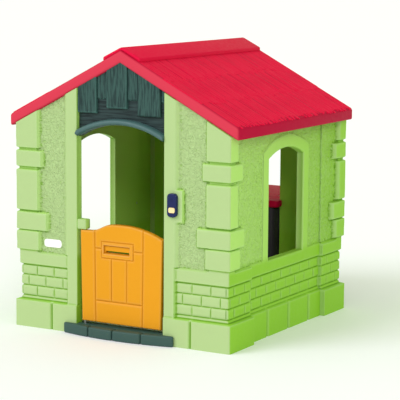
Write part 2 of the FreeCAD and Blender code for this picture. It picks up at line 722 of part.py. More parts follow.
board_y = post_face - size("board_lead")
spring_start = bell_front + bell_wall + slack + skirt + wire_radius
spring_length = board_y - wire_radius - spring_start
coil = doc.addObject("Part::Helix", "spring_path")
coil.Placement = Placement(Vector(), TURNS["y"])
for letter, place in zip("xyz", (button_middle[0], spring_start, button_middle[1])):
    coil.setExpression("Placement.Base." + letter, as_size(place).text)
coil.setExpression("Height", spring_length.text)
coil.setExpression("Pitch", (spring_length / size("spring_turns")).text)
coil.setExpression("Radius", size("spring_radius").text)
wire = doc.addObject("Part::Circle", "spring_wire")
wire.setExpression("Radius", wire_radius.text)
wire.Placement = Placement(Vector(), Rotation())
for letter, place in zip("xyz", (button_middle[0] + size("spring_radius"), spring_start,
                                  button_middle[1])):
    wire.setExpression("Placement.Base." + letter, as_size(place).text)
doc.recompute()
spring = doc.addObject("Part::Sweep", "button_spring")
spring.Sections = [wire]
spring.Spine = (coil, ["Edge1"])
spring.Solid = True
spring.Frenet = True
node("button_spring", spring)

board_back = board_y + size("board_thickness")
node("bell_circuit_board", box("bell_circuit_board", about(bell_x, size("board_width")),
                               (board_y, board_back), about(bell_z, size("board_height"))))
speaker_y = bell_front + bell_wall
node("bell_speaker", rod("bell_speaker", "y", (bell_x, speaker_y, bell_z + size("speaker_rise")),
                         size("speaker_radius"), board_y - speaker_y))
tray_wall = size("tray_wall")
tray_x = about(bell_x, size("pocket_width") - size("tray_clearance"))
tray_z = about(bell_z, size("pocket_height") - size("tray_clearance"))
tray_y = (board_back, post_face + size("pocket_depth"))
tray_block = box("tray_block", tray_x, tray_y, tray_z)
tray_hollow = box("tray_hollow", (tray_x[0] + tray_wall, tray_x[1] - tray_wall),
                  (tray_y[0] - OVERRUN, tray_y[1] - tray_wall),
                  (tray_z[0] + tray_wall, tray_z[1] - tray_wall))
node("battery_tray", cut("battery_tray", tray_block, [tray_hollow]))
cell_step = size("battery_radius") + size("battery_gap")
cells = [rod("battery_%d" % number, "z",
             (bell_x + cell_step * side, tray_y[1] - tray_wall - cell_step,
              bell_z - size("battery_length") / 2), size("battery_radius"), size("battery_length"))
         for number, side in enumerate((-1, 1), start=1)]
node("batteries", group("batteries", cells))

# ---------------------------------------------------------------- badge plate
node("blank_badge", box("blank_badge", about(size("badge_x"), size("badge_width")),
                        (front + size("stucco_setback") - size("badge_thickness"),
                         front + size("stucco_setback")),
                        about(size("badge_z"), size("badge_height"))))

# ---------------------------------------------------------------- table
top, thick = size("table_top_height"), size("table_thickness")
inner_wall = back - wall
slab_pieces = [
    box("ledge", (-size("table_half_width"), size("table_half_width")),
        (inner_wall - size("ledge_reach"), inner_wall - size("wall_gap")), (top - thick, top)),
    box("neck", (-door_half + size("table_gap"), door_half - size("table_gap")),
        (inner_wall - size("neck_overlap"), back + size("neck_overlap")), (top - thick, top)),
    box("outer_top", (-size("table_half_width"), size("table_half_width")),
        (back + size("wall_gap"), back + size("table_reach")), (top - thick, top)),
]
post_half = size("pedestal_half_width")
top_screw_length = thick + size("top_screw_bite")
top_screw_places = [(-1, (size("top_screw_x") * side, back + size(row), top))
                    for side in (-1, 1) for row in ("top_screw_near", "top_screw_far")]
node("table_top", cut("table_top", fuse("table_blank", slab_pieces),
                      screws(top_screw_places, "table_hole", "z", top_screw_length)))
pedestal_box = box("pedestal_box", (-post_half, post_half),
                   (inner_wall - size("pedestal_ledge"), back + size("pedestal_reach")), (0, top - thick))
pedestal_lap_x = door_half + size("flange_run")
pedestal_lap = box("pedestal_lap", (-pedestal_lap_x, pedestal_lap_x),
                   (back, back + size("flange_thickness")), (0, size("pedestal_lap_height")))
node("table_pedestal", cut("table_pedestal", fuse("pedestal_blank", [pedestal_box, pedestal_lap]),
                           screws(top_screw_places, "pedestal_top_hole", "z", top_screw_length)
                           + screws(pedestal_places, "pedestal_hole", "y")))
node("table_screws", group("table_screws",
                           screws(top_screw_places, "table_screw", "z", top_screw_length)))
node("pedestal_screws", group("pedestal_screws", screws(pedestal_places, "pedestal_screw", "y")))

# ---------------------------------------------------------------- checks and export
doc.recompute()
for item in doc.Objects:
    if "Invalid" in item.State or "Error" in item.State:
        raise RuntimeError("%s failed: %s" % (item.Label, item.State))
for piece in nodes:
    if piece.Shape.isNull() or not piece.Shape.isValid():
        raise RuntimeError(piece.Label + " has no valid shape")
os.makedirs("parts", exist_ok=True)
for piece in nodes:
    piece.Shape.exportStep("parts/%s.step" % piece.Label)
print(len(nodes), "nodes")
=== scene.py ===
import math

import bmesh
import bpy
import numpy as np
from mathutils import Matrix, Vector


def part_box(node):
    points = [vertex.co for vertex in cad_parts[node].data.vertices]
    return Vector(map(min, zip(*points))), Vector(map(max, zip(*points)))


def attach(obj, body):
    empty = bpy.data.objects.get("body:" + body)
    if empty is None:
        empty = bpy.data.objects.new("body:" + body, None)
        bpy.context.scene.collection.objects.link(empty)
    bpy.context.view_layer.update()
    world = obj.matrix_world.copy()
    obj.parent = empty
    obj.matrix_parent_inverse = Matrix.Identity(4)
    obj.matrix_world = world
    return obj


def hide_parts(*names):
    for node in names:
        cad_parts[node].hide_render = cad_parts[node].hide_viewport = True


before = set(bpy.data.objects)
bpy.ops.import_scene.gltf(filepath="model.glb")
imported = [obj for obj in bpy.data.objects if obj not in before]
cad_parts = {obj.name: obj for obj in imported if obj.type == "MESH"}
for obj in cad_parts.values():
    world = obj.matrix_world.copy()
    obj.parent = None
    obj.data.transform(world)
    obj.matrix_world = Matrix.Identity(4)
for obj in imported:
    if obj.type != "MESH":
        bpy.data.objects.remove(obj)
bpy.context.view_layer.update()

# ---------------------------------------------------------------- places read from the frame
corner_low, corner_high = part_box("front_left_corner_panel")
rear_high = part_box("back_right_corner_panel")[1]
roof_low, roof_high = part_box("right_roof_panel")
cap_low, cap_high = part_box("ridge_cap")
header_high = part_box("front_header_panel")[1]
window_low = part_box("right_window_panel")[0]
door_low, door_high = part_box("half_door")
step_low, step_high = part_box("door_step")
pedestal_low, pedestal_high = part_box("table_pedestal")
table_low, table_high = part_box("table_top")
block_low, block_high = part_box("hinge_block")
badge_low, badge_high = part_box("blank_badge")

half_width = -corner_low.x
front, back = corner_low.y, rear_high.y
doorway = -corner_high.x
corner_run = corner_high.y - corner_low.y
middle_y = (front + back) / 2
roof_edge, roof_top = roof_high.x, roof_high.z
roof_front, roof_back = roof_low.y, roof_high.y
roof_thickness = 0.051
roof_slope = (roof_top - roof_thickness - roof_low.z) / roof_edge
roof_tilt = math.atan(roof_slope)

# Depths count inwards from the face of the base, heights from the ground, runs from a corner.
WALL = 0.042
BASE_HEAD, BASE_SOFT = 0.116, 0.003
BAND_FOOT, BAND_HEAD = 0.265, 0.320
BRICK_LINES = (0.131, 0.175, 0.220, 0.262)
BRICK_LENGTH, MORTAR_DROP = 0.087, 0.006
GABLE_JOINT, SIDE_JOINT, WINDOW_JOINT = 0.0555, 0.024, 0.366
BLOCK_JOINT, WINDOW_BLOCK_JOINTS, BLOCK_JOINT_DROP = 0.184, (0.363, 0.550, 0.738), 0.008
POST_WIDTH, POST_DEPTH = 0.048, 0.006
STUCCO_DEPTH, BRICK_DEPTH, BAND_DEPTH, QUOIN_DEPTH = 0.022, 0.018, 0.013, 0.004
SIDE_STUCCO_DEPTH, SIDE_STUCCO_REACH = 0.026, 0.12
TAB_EDGE, TAB_HEIGHTS = 0.295, (0.506, 0.635)
CORE_DROP, CORE_RUN, CORE_SIDE_RUN = 0.009, 0.100, 0.056
GRID_HEAD, ABOVE_ROOF = 1.03, 1.1
# each corner stone's foot, head, run on the gable wall and run on the side wall
QUOINS = ((0.762, ABOVE_ROOF, 0.111, 0.066), (0.683, 0.747, 0.129, 0.103), (0.500, 0.666, 0.111, 0.066),
          (0.416, 0.487, 0.154, 0.118), (0.331, 0.407, 0.114, 0.088))
PANEL = {"base": 0.022, "brick": 0.033, "face": 0.029, "stucco": 0.034, "inner": 0.060, "lap": 0.0425}
WINDOW_HALF, WINDOW_CROWN, WINDOW_RADIUS = 0.155, 0.772, 0.343
WINDOW_WALL_HEAD = 0.895
WINDOW_SILL, FRAME_WIDTH, LAP_STEP = 0.318, 0.049, 0.0005
ARCH_CROWN, ARCH_RADIUS, BEAD_HEIGHT = 0.879, 0.412, 0.024
arch_centre = ARCH_CROWN - ARCH_RADIUS
window_centre = WINDOW_CROWN - WINDOW_RADIUS
PITCH = 0.0045
BEYOND = 9.0


def roof_underside(x):
    """Height of the underside of the roof over a place x."""
    return roof_top - roof_thickness - roof_slope * np.abs(x)


# ---------------------------------------------------------------- finishes
def paint(red, green, blue):
    """A colour given as 0 to 255, for a shader."""
    def straight(level):
        level /= 255
        return level / 12.92 if level < 0.04045 else ((level + 0.055) / 1.055) ** 2.4
    return (straight(red), straight(green), straight(blue), 1.0)


class Finish:
    """A material on Object coordinates, built up a layer at a time.
    sockets are plain values for the shader, named as it labels them."""

    def __init__(self, name, **sockets):
        self.material = bpy.data.materials.new(name)
        self.material.use_nodes = True
        self.tree = self.material.node_tree
        self.shader = self.tree.nodes["Principled BSDF"]
        self.place = self.tree.nodes.new("ShaderNodeTexCoord").outputs["Object"]
        for label, value in sockets.items():
            self.shader.inputs[label.replace("_", " ")].default_value = value
        self.bumps = None

    def join(self, source, target):
        self.tree.links.new(source, target)

    def noise(self, scale, stretch=(1, 1, 1), detail=3.0, twist=0.0):
        """Noise whose cells are stretched along the axes."""
        mapping = self.tree.nodes.new("ShaderNodeMapping")
        mapping.inputs["Scale"].default_value = [1 / s for s in stretch]
        texture = self.tree.nodes.new("ShaderNodeTexNoise")
        texture.inputs["Scale"].default_value = scale
        texture.inputs["Detail"].default_value = detail
        texture.inputs["Distortion"].default_value = twist
        self.join(self.place, mapping.inputs["Vector"])
        self.join(mapping.outputs["Vector"], texture.inputs["Vector"])
        return texture.outputs["Fac"]

    def attribute(self, name):
        """A value that the piece carries at its points, 0 where it has none."""
        node = self.tree.nodes.new("ShaderNodeAttribute")
        node.attribute_name = name
        return node.outputs["Fac"]

    def spread(self, value, start, end, low, high):
        """Maps start..end to low..high."""
        node = self.tree.nodes.new("ShaderNodeMapRange")
        node.inputs["From Min"].default_value = start
        node.inputs["From Max"].default_value = end
        node.inputs["To Min"].default_value = low
        node.inputs["To Max"].default_value = high
        self.join(value, node.inputs["Value"])
        return node.outputs["Result"]

    def calculate(self, operation, first, second):
        """Arithmetic on two inputs, each a float or a socket."""
        node = self.tree.nodes.new("ShaderNodeMath")
        node.operation = operation
        for socket, value in zip(node.inputs, (first, second)):
            if isinstance(value, float):
                socket.default_value = value
            else:
                self.join(value, socket)
        return node.outputs[0]

    def split(self, vector):
        """The x, y and z of a direction or a place."""
        node = self.tree.nodes.new("ShaderNodeSeparateXYZ")
        self.join(vector, node.inputs[0])
        return node.outputs

    def front_light_share(self):
        """The share of the painted front light, by how much a face looks towards -Y: up to 1 at the front
        wall, about half in the skin of the side walls, and 0 inside the house."""
        behind_wall, through_wall, side_share = 0.003, 0.018, 0.55
        geometry = self.tree.nodes.new("ShaderNodeNewGeometry")
        facing = self.spread(self.split(geometry.outputs["Normal"])["Y"], -0.15, -0.85, 0, 1)
        place = self.split(self.place)
        wall_back = front + WALL
        at_front = self.spread(place["Y"], wall_back + behind_wall, wall_back + through_wall, 1, 0)
        outward = self.calculate("ABSOLUTE", place["X"], 0.0)
        at_side = self.spread(outward, half_width - 0.068, half_width - 0.064, 0, side_share)
        return self.calculate("MULTIPLY", facing, self.calculate("MAXIMUM", at_front, at_side))

    def edges(self):
        """0 on flat ground, 1 on an outer edge of a finely divided piece."""
        geometry = self.tree.nodes.new("ShaderNodeNewGeometry")
        return self.spread(geometry.outputs["Pointiness"], 0.52, 0.60, 0, 1)

    def front_wash_share(self):
        """The share of a painted wash of light: 1 on the upper walls at the front of the house, easing off
        below and towards the back.
        """
        place = self.split(self.place)
        near = self.spread(place["Y"], front, back, 1.0, 0.1)
        above = self.spread(place["Z"], BAND_HEAD - 0.01, BAND_HEAD + 0.02, 0, 1)
        return self.calculate("MULTIPLY", near, above)

    def mix(self, share, first, second):
        """Blends two colours; either is a colour or a socket."""
        node = self.tree.nodes.new("ShaderNodeMix")
        node.data_type = "RGBA"
        self.join(share, node.inputs["Factor"])
        for socket, value in ((node.inputs[6], first), (node.inputs[7], second)):
            if isinstance(value, tuple):
                socket.default_value = value
            else:
                self.join(value, socket)
        return node.outputs[2]

    def colour(self, value):
        self.join(value, self.shader.inputs["Base Color"])

    def roughen(self, value, low, high):
        self.join(self.spread(value, 0.3, 0.7, low, high), self.shader.inputs["Roughness"])

    def bump(self, height, distance, strength=1.0):
        node = self.tree.nodes.new("ShaderNodeBump")
        node.inputs["Distance"].default_value = distance
        node.inputs["Strength"].default_value = strength
        self.join(height, node.inputs["Height"])
        if self.bumps is not None:
            self.join(self.bumps, node.inputs["Normal"])
        self.bumps = node.outputs["Normal"]
        self.join(self.bumps, self.shader.inputs["Normal"])


def shade(colour, factor):
    return tuple(min(channel * factor, 1.0) for channel in colour[:3]) + (1.0,)


def moulded_plastic(name, colour, roughness=(0.42, 0.55), variation=0.07, pebble=0.0003,
                    specular=0.25, painted_front_light=None, painted_front_wash=None):
    """Moulded plastic: faint colour drift, a pebbled skin, a painted highlight with wear on the outer edges
    and painted shade in the grooves.
    The edges, grooves and stucco come from values that the panels carry at their points; raised stucco
    flecks get the painted highlight too.
    The colour given for faces towards -Y is a paler one painted there for the light on the front, and that
    for the upper walls at the front a painted wash of the same light."""
    # Shares of the painted edge highlight, which also stands for wear, and of the painted shade in the
    # grooves.
    edge_highlight_and_wear, painted_groove_shade, fleck_height = 0.40, 0.80, 0.009
    finish = Finish(name, Specular_IOR_Level=specular)
    drift = finish.noise(3.5, detail=2)
    base = finish.mix(drift, shade(colour, 1 - variation), shade(colour, 1 + variation))
    # Stucco flecks raise the surface and join the relief, so raised flecks get the painted highlight and
    # sunk ones the painted shade.
    flecks = finish.noise(92, detail=3, twist=1.2)
    grit = finish.attribute("grit")
    fleck = finish.calculate("MULTIPLY", finish.spread(flecks, 0.36, 0.64, -0.15, 0.80), grit)
    relief = finish.calculate("ADD", finish.attribute("relief"), fleck)
    # Paints a paler wash on the upper walls towards the front, for the light that falls there.
    if painted_front_wash:
        base = finish.mix(finish.front_wash_share(), base, painted_front_wash)
    # Paints a paler colour on faces towards -Y for the light that falls on the front, with less of it at
    # the bottom of grooves.
    if painted_front_light:
        open_ground = finish.spread(relief, -0.8, -0.1, 0.1, 1)
        share = finish.calculate("MULTIPLY", finish.front_light_share(), open_ground)
        base = finish.mix(share, base, painted_front_light)
    # Painted highlight, with wear, on raised edges and flecks.
    pale = tuple(channel * 0.75 + 0.25 for channel in colour[:3]) + (1.0,)
    base = finish.mix(finish.spread(relief, 0, 1, 0, edge_highlight_and_wear), base, pale)
    # Painted shade in grooves and recesses.
    deep = tuple(channel ** 1.35 * 0.50 for channel in colour[:3]) + (1.0,)
    finish.colour(finish.mix(finish.spread(relief, -0.05, -1, 0, painted_groove_shade), base, deep))
    skin = finish.noise(420, detail=2)
    finish.roughen(finish.noise(60), *roughness)
    finish.bump(skin, pebble, 0.5)
    finish.bump(finish.calculate("MULTIPLY", flecks, grit), fleck_height)
    return finish


def grained_plastic(name, colour, dark, scale, stretch, depth=0.0008, sharp=(0.38, 0.62),
                    specular=0.2, edge=1.0):
    """Plastic moulded to look like sawn wood: streaks along the stretched axis.
    sharp is the span of noise between dark and light, and edge scales a painted highlight on the outer
    edges."""
    finish = Finish(name, Specular_IOR_Level=specular)
    streaks = finish.noise(scale, stretch, detail=4)
    fine = finish.noise(scale * 3.1, stretch, detail=3)
    share = finish.spread(streaks, *sharp, 0, 1)
    base = finish.mix(share, dark, colour)
    base = finish.mix(finish.spread(fine, 0.35, 0.65, 0, 0.35), base, shade(colour, 1.15))
    # Painted highlight on the outer edges.
    finish.colour(finish.mix(finish.edges(), base, shade(colour, edge)))
    finish.roughen(fine, 0.45, 0.6)
    finish.bump(streaks, depth, 0.8)
    finish.bump(fine, depth * 0.4, 0.6)
    return finish


# The walls and the roof slab get paler colours painted on their faces towards the front, for the light that
# falls there.
green_wall = moulded_plastic("green_wall", paint(143, 198, 52), pebble=0.0005, variation=0.05,
                             specular=0.12, painted_front_light=paint(170, 195, 134), painted_front_wash=paint(178, 222, 112))
roof_red = moulded_plastic("roof_red", paint(180, 10, 54), variation=0.05, specular=0.04,
                           painted_front_light=paint(205, 58, 78))
shake_red = grained_plastic("shake_red", paint(222, 20, 64), paint(168, 8, 42), 130, (14, 1, 14),
                            depth=0.0012, specular=0.03)
cap_red = moulded_plastic("cap_red", paint(216, 20, 62), variation=0.05, specular=0.03)
# The planks get a strong painted highlight on their outer edges.
header_teal = grained_plastic("header_teal", paint(50, 80, 75), paint(26, 46, 46), 170, (1, 1, 11),
                              sharp=(0.40, 0.56), edge=2.2)
board_teal = grained_plastic("board_teal", paint(46, 64, 64), paint(20, 32, 34), 150, (14, 1, 1),
                             sharp=(0.40, 0.58))
arch_teal = moulded_plastic("arch_teal", paint(62, 96, 96), variation=0.05, specular=0.5)
step_teal = moulded_plastic("step_teal", paint(54, 82, 76), variation=0.08)
door_amber = moulded_plastic("door_amber", paint(218, 148, 22), variation=0.04, pebble=0.0004,
                             specular=0.15)
bell_navy = moulded_plastic("bell_navy", paint(5, 22, 78), roughness=(0.16, 0.24), specular=0.35)
button_cream = moulded_plastic("button_cream", paint(238, 214, 158), roughness=(0.25, 0.35))
table_red = moulded_plastic("table_red", paint(186, 12, 52), specular=0.03)
charcoal_base = moulded_plastic("charcoal_base", paint(46, 43, 44), variation=0.15)
badge_white = moulded_plastic("badge_white", paint(244, 244, 240), roughness=(0.3, 0.4))


def plain_part(name, colour, metallic=0.0, roughness=(0.25, 0.4)):
    """A small bought-in part: metal, board or battery sleeve."""
    finish = Finish(name, Metallic=metallic)
    grain = finish.noise(300)
    finish.colour(finish.mix(grain, shade(colour, 0.85), shade(colour, 1.1)))
    finish.roughen(grain, *roughness)
    finish.bump(grain, 0.0001, 0.4)
    return finish


steel = plain_part("steel", paint(176, 178, 180), 1.0)
spring_wire = plain_part("spring_wire", paint(150, 152, 156), 1.0)
board_green = plain_part("board_green", paint(24, 92, 52))
speaker_black = plain_part("speaker_black", paint(30, 30, 32), roughness=(0.5, 0.7))
tray_black = plain_part("tray_black", paint(38, 38, 40), roughness=(0.4, 0.6))
battery_sleeve = plain_part("battery_sleeve", paint(96, 72, 140), 0.3)


# ---------------------------------------------------------------- making pieces
def finished(mesh, name, finish, stands_for=(), body="house", sharp=38):
    """Turns a closed mesh into a piece: merged, normals outward, smooth but for its sharp edges."""
    work = bmesh.new()
    work.from_mesh(mesh)
    bmesh.ops.remove_doubles(work, verts=work.verts, dist=2e-5)
    bmesh.ops.dissolve_degenerate(work, edges=work.edges, dist=1e-6)
    bmesh.ops.recalc_face_normals(work, faces=work.faces)
    work.to_mesh(mesh)
    work.free()
    mesh.shade_smooth()
    mesh.set_sharp_from_angle(angle=math.radians(sharp))
    mesh.materials.clear()
    mesh.materials.append(finish.material)
    thing = bpy.data.objects.new(name, mesh)
    mesh.name = name
    bpy.context.scene.collection.objects.link(thing)
    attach(thing, body)
    if stands_for:
        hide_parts(*stands_for)
    return thing


def mesh_of(points, faces):
    mesh = bpy.data.meshes.new("shape")
    mesh.from_pydata([tuple(point) for point in points], [], faces)
    return mesh


def joined(meshes):
    """Several meshes as one."""
    work = bmesh.new()
    for mesh in meshes:
        work.from_mesh(mesh)
    whole = bpy.data.meshes.new("shape")
    work.to_mesh(whole)
    work.free()
    return whole


def solid(outline, low, high, axis="y", bevel=0.004, segments=3, seam=False):
    """A closed prism of an outline along an axis, with softened edges.
    The outline holds (x, z) pairs for axis y and (x, y) pairs for axis z.
    With seam, the edges on the plane x = 0 stay sharp, so that two halves meet cleanly."""
    placed = {"y": lambda u, v, w: (u, w, v), "z": lambda u, v, w: (u, v, w)}[axis]
    count = len(outline)
    points = [placed(u, v, w) for w in (low, high) for u, v in outline]
    faces = [list(range(count)), list(range(2 * count - 1, count - 1, -1))]
    faces += [[i, i + count, (i + 1) % count + count, (i + 1) % count] for i in range(count)]
    work = bmesh.new()
    work.from_mesh(mesh_of(points, faces))
    bmesh.ops.recalc_face_normals(work, faces=work.faces)
    edges = [edge for edge in work.edges if edge.calc_face_angle() > math.radians(28)
             and not (seam and all(abs(vertex.co.x) < 1e-6 for vertex in edge.verts))]
    bmesh.ops.bevel(work, geom=edges, offset=bevel, offset_type="OFFSET", segments=segments,
                    profile=0.5, affect="EDGES", clamp_overlap=True)
    mesh = bpy.data.meshes.new("solid")
    work.to_mesh(mesh)
    work.free()
    return mesh


def block(low, high, bevel=0.004, segments=3):
    """A box with softened edges."""
    outline = [(low[0], low[2]), (high[0], low[2]), (high[0], high[2]), (low[0], high[2])]
    return solid(outline, low[1], high[1], "y", bevel, segments)


def rounded_outline(low, high, corner, steps=6):
    """A rectangle with round corners, as a list of pairs."""
    turns = ((high[0] - corner, low[1] + corner, -90), (high[0] - corner, high[1] - corner, 0),
             (low[0] + corner, high[1] - corner, 90), (low[0] + corner, low[1] + corner, 180))
    return [(u + corner * math.cos(math.radians(start + 90 * step / steps)),
             v + corner * math.sin(math.radians(start + 90 * step / steps)))
            for u, v, start in turns for step in range(steps + 1)]


# ---------------------------------------------------------------- relief of the moulded panels
def ramp(distance, width):
    """1 where the distance is 0 or less, easing down to 0 at the width."""
    share = np.clip(1 - distance / width, 0, 1)
    return share * share * (3 - 2 * share)


def plateau(u, v, u_span, v_span, soft_u, soft_v):
    """1 on a block, easing to 0 over soft_u and soft_v beside it, with round corners."""
    beyond_u = np.maximum(u_span[0] - u, u - u_span[1]) / soft_u
    beyond_v = np.maximum(v_span[0] - v, v - v_span[1]) / soft_v
    return ramp(np.hypot(np.maximum(beyond_u, 0), np.maximum(beyond_v, 0)), 1)


def settle(depth, level, share):
    """Moves the surface towards a level by a share from 0 to 1."""
    return depth + (level - depth) * share


def rough(u, v, cell, seed):
    """Smooth random heights from -1 to 1 on a lattice with this cell size."""
    table = np.random.default_rng(seed).uniform(-1, 1, (128, 128))
    u, v = np.broadcast_arrays(u / cell + 64, v / cell + 64)
    column, row = np.floor(u).astype(int), np.floor(v).astype(int)
    across, along = u - column, v - row
    across, along = across ** 2 * (3 - 2 * across), along ** 2 * (3 - 2 * along)
    near = table[column % 128, row % 128] * (1 - across) + table[(column + 1) % 128, row % 128] * across
    far = (table[column % 128, (row + 1) % 128] * (1 - across)
           + table[(column + 1) % 128, (row + 1) % 128] * across)
    return near * (1 - along) + far * along


def lines(stops, pitch=PITCH):
    """Grid lines through every stop and no further apart than the pitch."""
    stops = sorted(set(round(stop, 6) for stop in stops))
    ticks = [stops[0]]
    for low, high in zip(stops, stops[1:]):
        count = max(1, math.ceil((high - low) / pitch - 1e-6))
        ticks += [low + (high - low) * step / count for step in range(1, count + 1)]
    return np.array(ticks)


def rolled(distance, radius):
    """How far a rounded edge has dropped at a distance from it."""
    reach = np.clip(radius - distance, 0, radius)
    return radius - np.sqrt(radius ** 2 - reach ** 2)


def bricks(depth, along, z, level, first):
    """Sinks the mortar lines of three courses into a wall. first is where a joint stands in the
    middle course, and the other two are half a brick out."""
    mortar = level + MORTAR_DROP
    for height in BRICK_LINES:
        depth = settle(depth, mortar, ramp(np.abs(z - height), 0.0065))
    for low, high, phase in zip(BRICK_LINES, BRICK_LINES[1:], (0.5, 0, 0.5)):
        off = np.mod(along - first + BRICK_LENGTH * phase, BRICK_LENGTH)
        off = np.minimum(off, BRICK_LENGTH - off)
        course = ramp(np.maximum(low - z, z - high), 0.003)
        depth = settle(depth, mortar - 0.001, ramp(off, 0.006) * course)
    return depth


def relief_of(depth):
    """-1 in a groove and 1 on an outer edge: how far each point stands out of its surroundings."""
    around = depth
    for _ in range(3):
        wide = np.pad(around, 1, mode="edge")
        around = (wide[:-2, 1:-1] + wide[2:, 1:-1] + wide[1:-1, :-2] + wide[1:-1, 2:] + around) / 5
    return np.clip((around - depth) / 0.0030, -1, 1)


def panel_mesh(outer, inner, keep=None, marks=None, inner_marks=None):
    """A closed panel between two grids of points, columns by rows; keep picks its cells.
    The marks are named values at each point, which the finish reads."""
    columns, rows = outer.shape[:2]
    total = columns * rows
    number = np.arange(total).reshape(columns, rows)
    cells = np.stack([number[:-1, :-1], number[1:, :-1], number[1:, 1:], number[:-1, 1:]], axis=-1)
    cells = cells.reshape(-1, 4) if keep is None else cells[keep]
    starts = cells.reshape(-1)
    ends = np.roll(cells, -1, axis=1).reshape(-1)
    rim = ~np.isin(starts * total + ends, ends * total + starts)
    starts, ends = starts[rim], ends[rim]
    walls = np.stack([ends, starts, starts + total, ends + total], axis=1)
    faces = np.concatenate([cells, cells[:, ::-1] + total, walls])
    used, compact = np.unique(faces, return_inverse=True)
    points = np.concatenate([outer.reshape(-1, 3), inner.reshape(-1, 3)])[used]
    mesh = mesh_of(points.tolist(), compact.reshape(-1, 4).tolist())
    for name, values in (marks or {}).items():
        rear = (inner_marks or {}).get(name, np.zeros_like(values))
        both = np.concatenate([values.reshape(-1), rear.reshape(-1)])[used]
        mesh.attributes.new(name, "FLOAT", "POINT").data.foreach_set("value", both.astype(np.float32))
    return mesh


def stucco(u, z, seed):
    """The trowelled skin between the stones."""
    return 0.0014 * rough(u, z, 0.0095, seed) + 0.0010 * rough(u, z, 0.020, seed + 1)


def grit_of(depth, level, z):
    """1 where the trowelled skin shows, 0 on the stones, posts and frames."""
    return ramp(level - 0.0035 - depth, 0.0015) * ramp(BAND_HEAD + 0.004 - z, 0.004)


def side_stucco_depth(u):
    """On a side wall the stucco falls back a little away from the corner."""
    return STUCCO_DEPTH + (SIDE_STUCCO_DEPTH - STUCCO_DEPTH) * np.clip(u / SIDE_STUCCO_REACH, 0, 1)


def corner_relief(u, on_side, z, seed, tab):
    """Depth of a corner panel's skin at a run u from the corner, on its gable or side wing."""
    signed = np.where(on_side, u, -u)
    depth = np.where(on_side, side_stucco_depth(u), STUCCO_DEPTH) + stucco(signed, z, seed)
    gable_run = half_width - doorway
    brick_share = ramp(z - BAND_FOOT, 0.004)
    depth = settle(depth, BRICK_DEPTH + 0.0004 * rough(signed, z, 0.02, seed + 2), brick_share)
    courses = np.where(on_side, bricks(depth, u, z, BRICK_DEPTH, SIDE_JOINT),
                       bricks(depth, u, z, BRICK_DEPTH, GABLE_JOINT))
    depth = settle(depth, courses, ramp(z - BAND_FOOT - 0.004, 0.003))
    band = plateau(u, z, (-BEYOND, BEYOND), (BAND_FOOT + 0.004, BAND_HEAD - 0.003), 1, 0.006)
    depth = settle(depth, BAND_DEPTH, band)
    core_reach = np.where(on_side, CORE_SIDE_RUN, CORE_RUN)
    core = plateau(u, z, (-BEYOND, core_reach), (BAND_HEAD, ABOVE_ROOF), 0.016, 0.006)
    depth = settle(depth, QUOIN_DEPTH + CORE_DROP, core)
    for number, (foot, head, run, side_run) in enumerate(QUOINS):
        reach = np.where(on_side, side_run, run)
        stone = QUOIN_DEPTH + 0.0006 * rough(signed, z, 0.03, seed + 3 + number)
        stands = plateau(u, z, (-BEYOND, reach), (foot + 0.001, head - 0.001), 0.014, 0.006)
        depth = settle(depth, stone, stands)
    post_soft = np.where(z > BAND_HEAD, 0.026, 0.007)
    post = ramp(gable_run - POST_WIDTH - u, post_soft)
    depth = settle(depth, POST_DEPTH, np.where(on_side, 0, post))
    if tab:
        bell_tab = plateau(u, z, (half_width - TAB_EDGE, BEYOND), TAB_HEIGHTS, 0.004, 0.004)
        depth = settle(depth, POST_DEPTH, np.where(on_side, 0, bell_tab))
    base_face = 0.0003 * rough(signed, z, 0.04, seed + 9)
    depth = settle(depth, base_face, ramp(z - BASE_HEAD + BASE_SOFT, 2 * BASE_SOFT))
    joint = np.where(on_side, BEYOND, np.abs(u - BLOCK_JOINT))
    depth = settle(depth, BLOCK_JOINT_DROP, ramp(joint, 0.009) * ramp(z - BASE_HEAD, BASE_SOFT))
    end = np.where(on_side, corner_run, gable_run)
    return depth + rolled(end - u, np.where(on_side, 0.002, 0.005))


CORNER_RADIUS, CORNER_BLEND = 0.007, 0.038


def around_corner(u, depth):
    """(along, inward) of a skin that wraps a corner with a rounded edge."""
    radius, blend = CORNER_RADIUS, CORNER_BLEND
    turn = radius * 0.8
    centre = depth + radius
    angle = math.pi / 4 * (1 - np.clip(u / turn, 0, 1))
    along = np.where(u < turn, centre - radius * np.sin(angle),
                     centre + (u - turn) / (blend - turn) * (blend - centre))
    along = np.where(u >= blend, u, along)
    inward = np.where(u < turn, centre - radius * np.cos(angle), depth)
    return along, inward


def free_edge(run):
    """Grid lines that the rounded end of a panel needs."""
    return [run - 0.005, run - 0.0015, run]


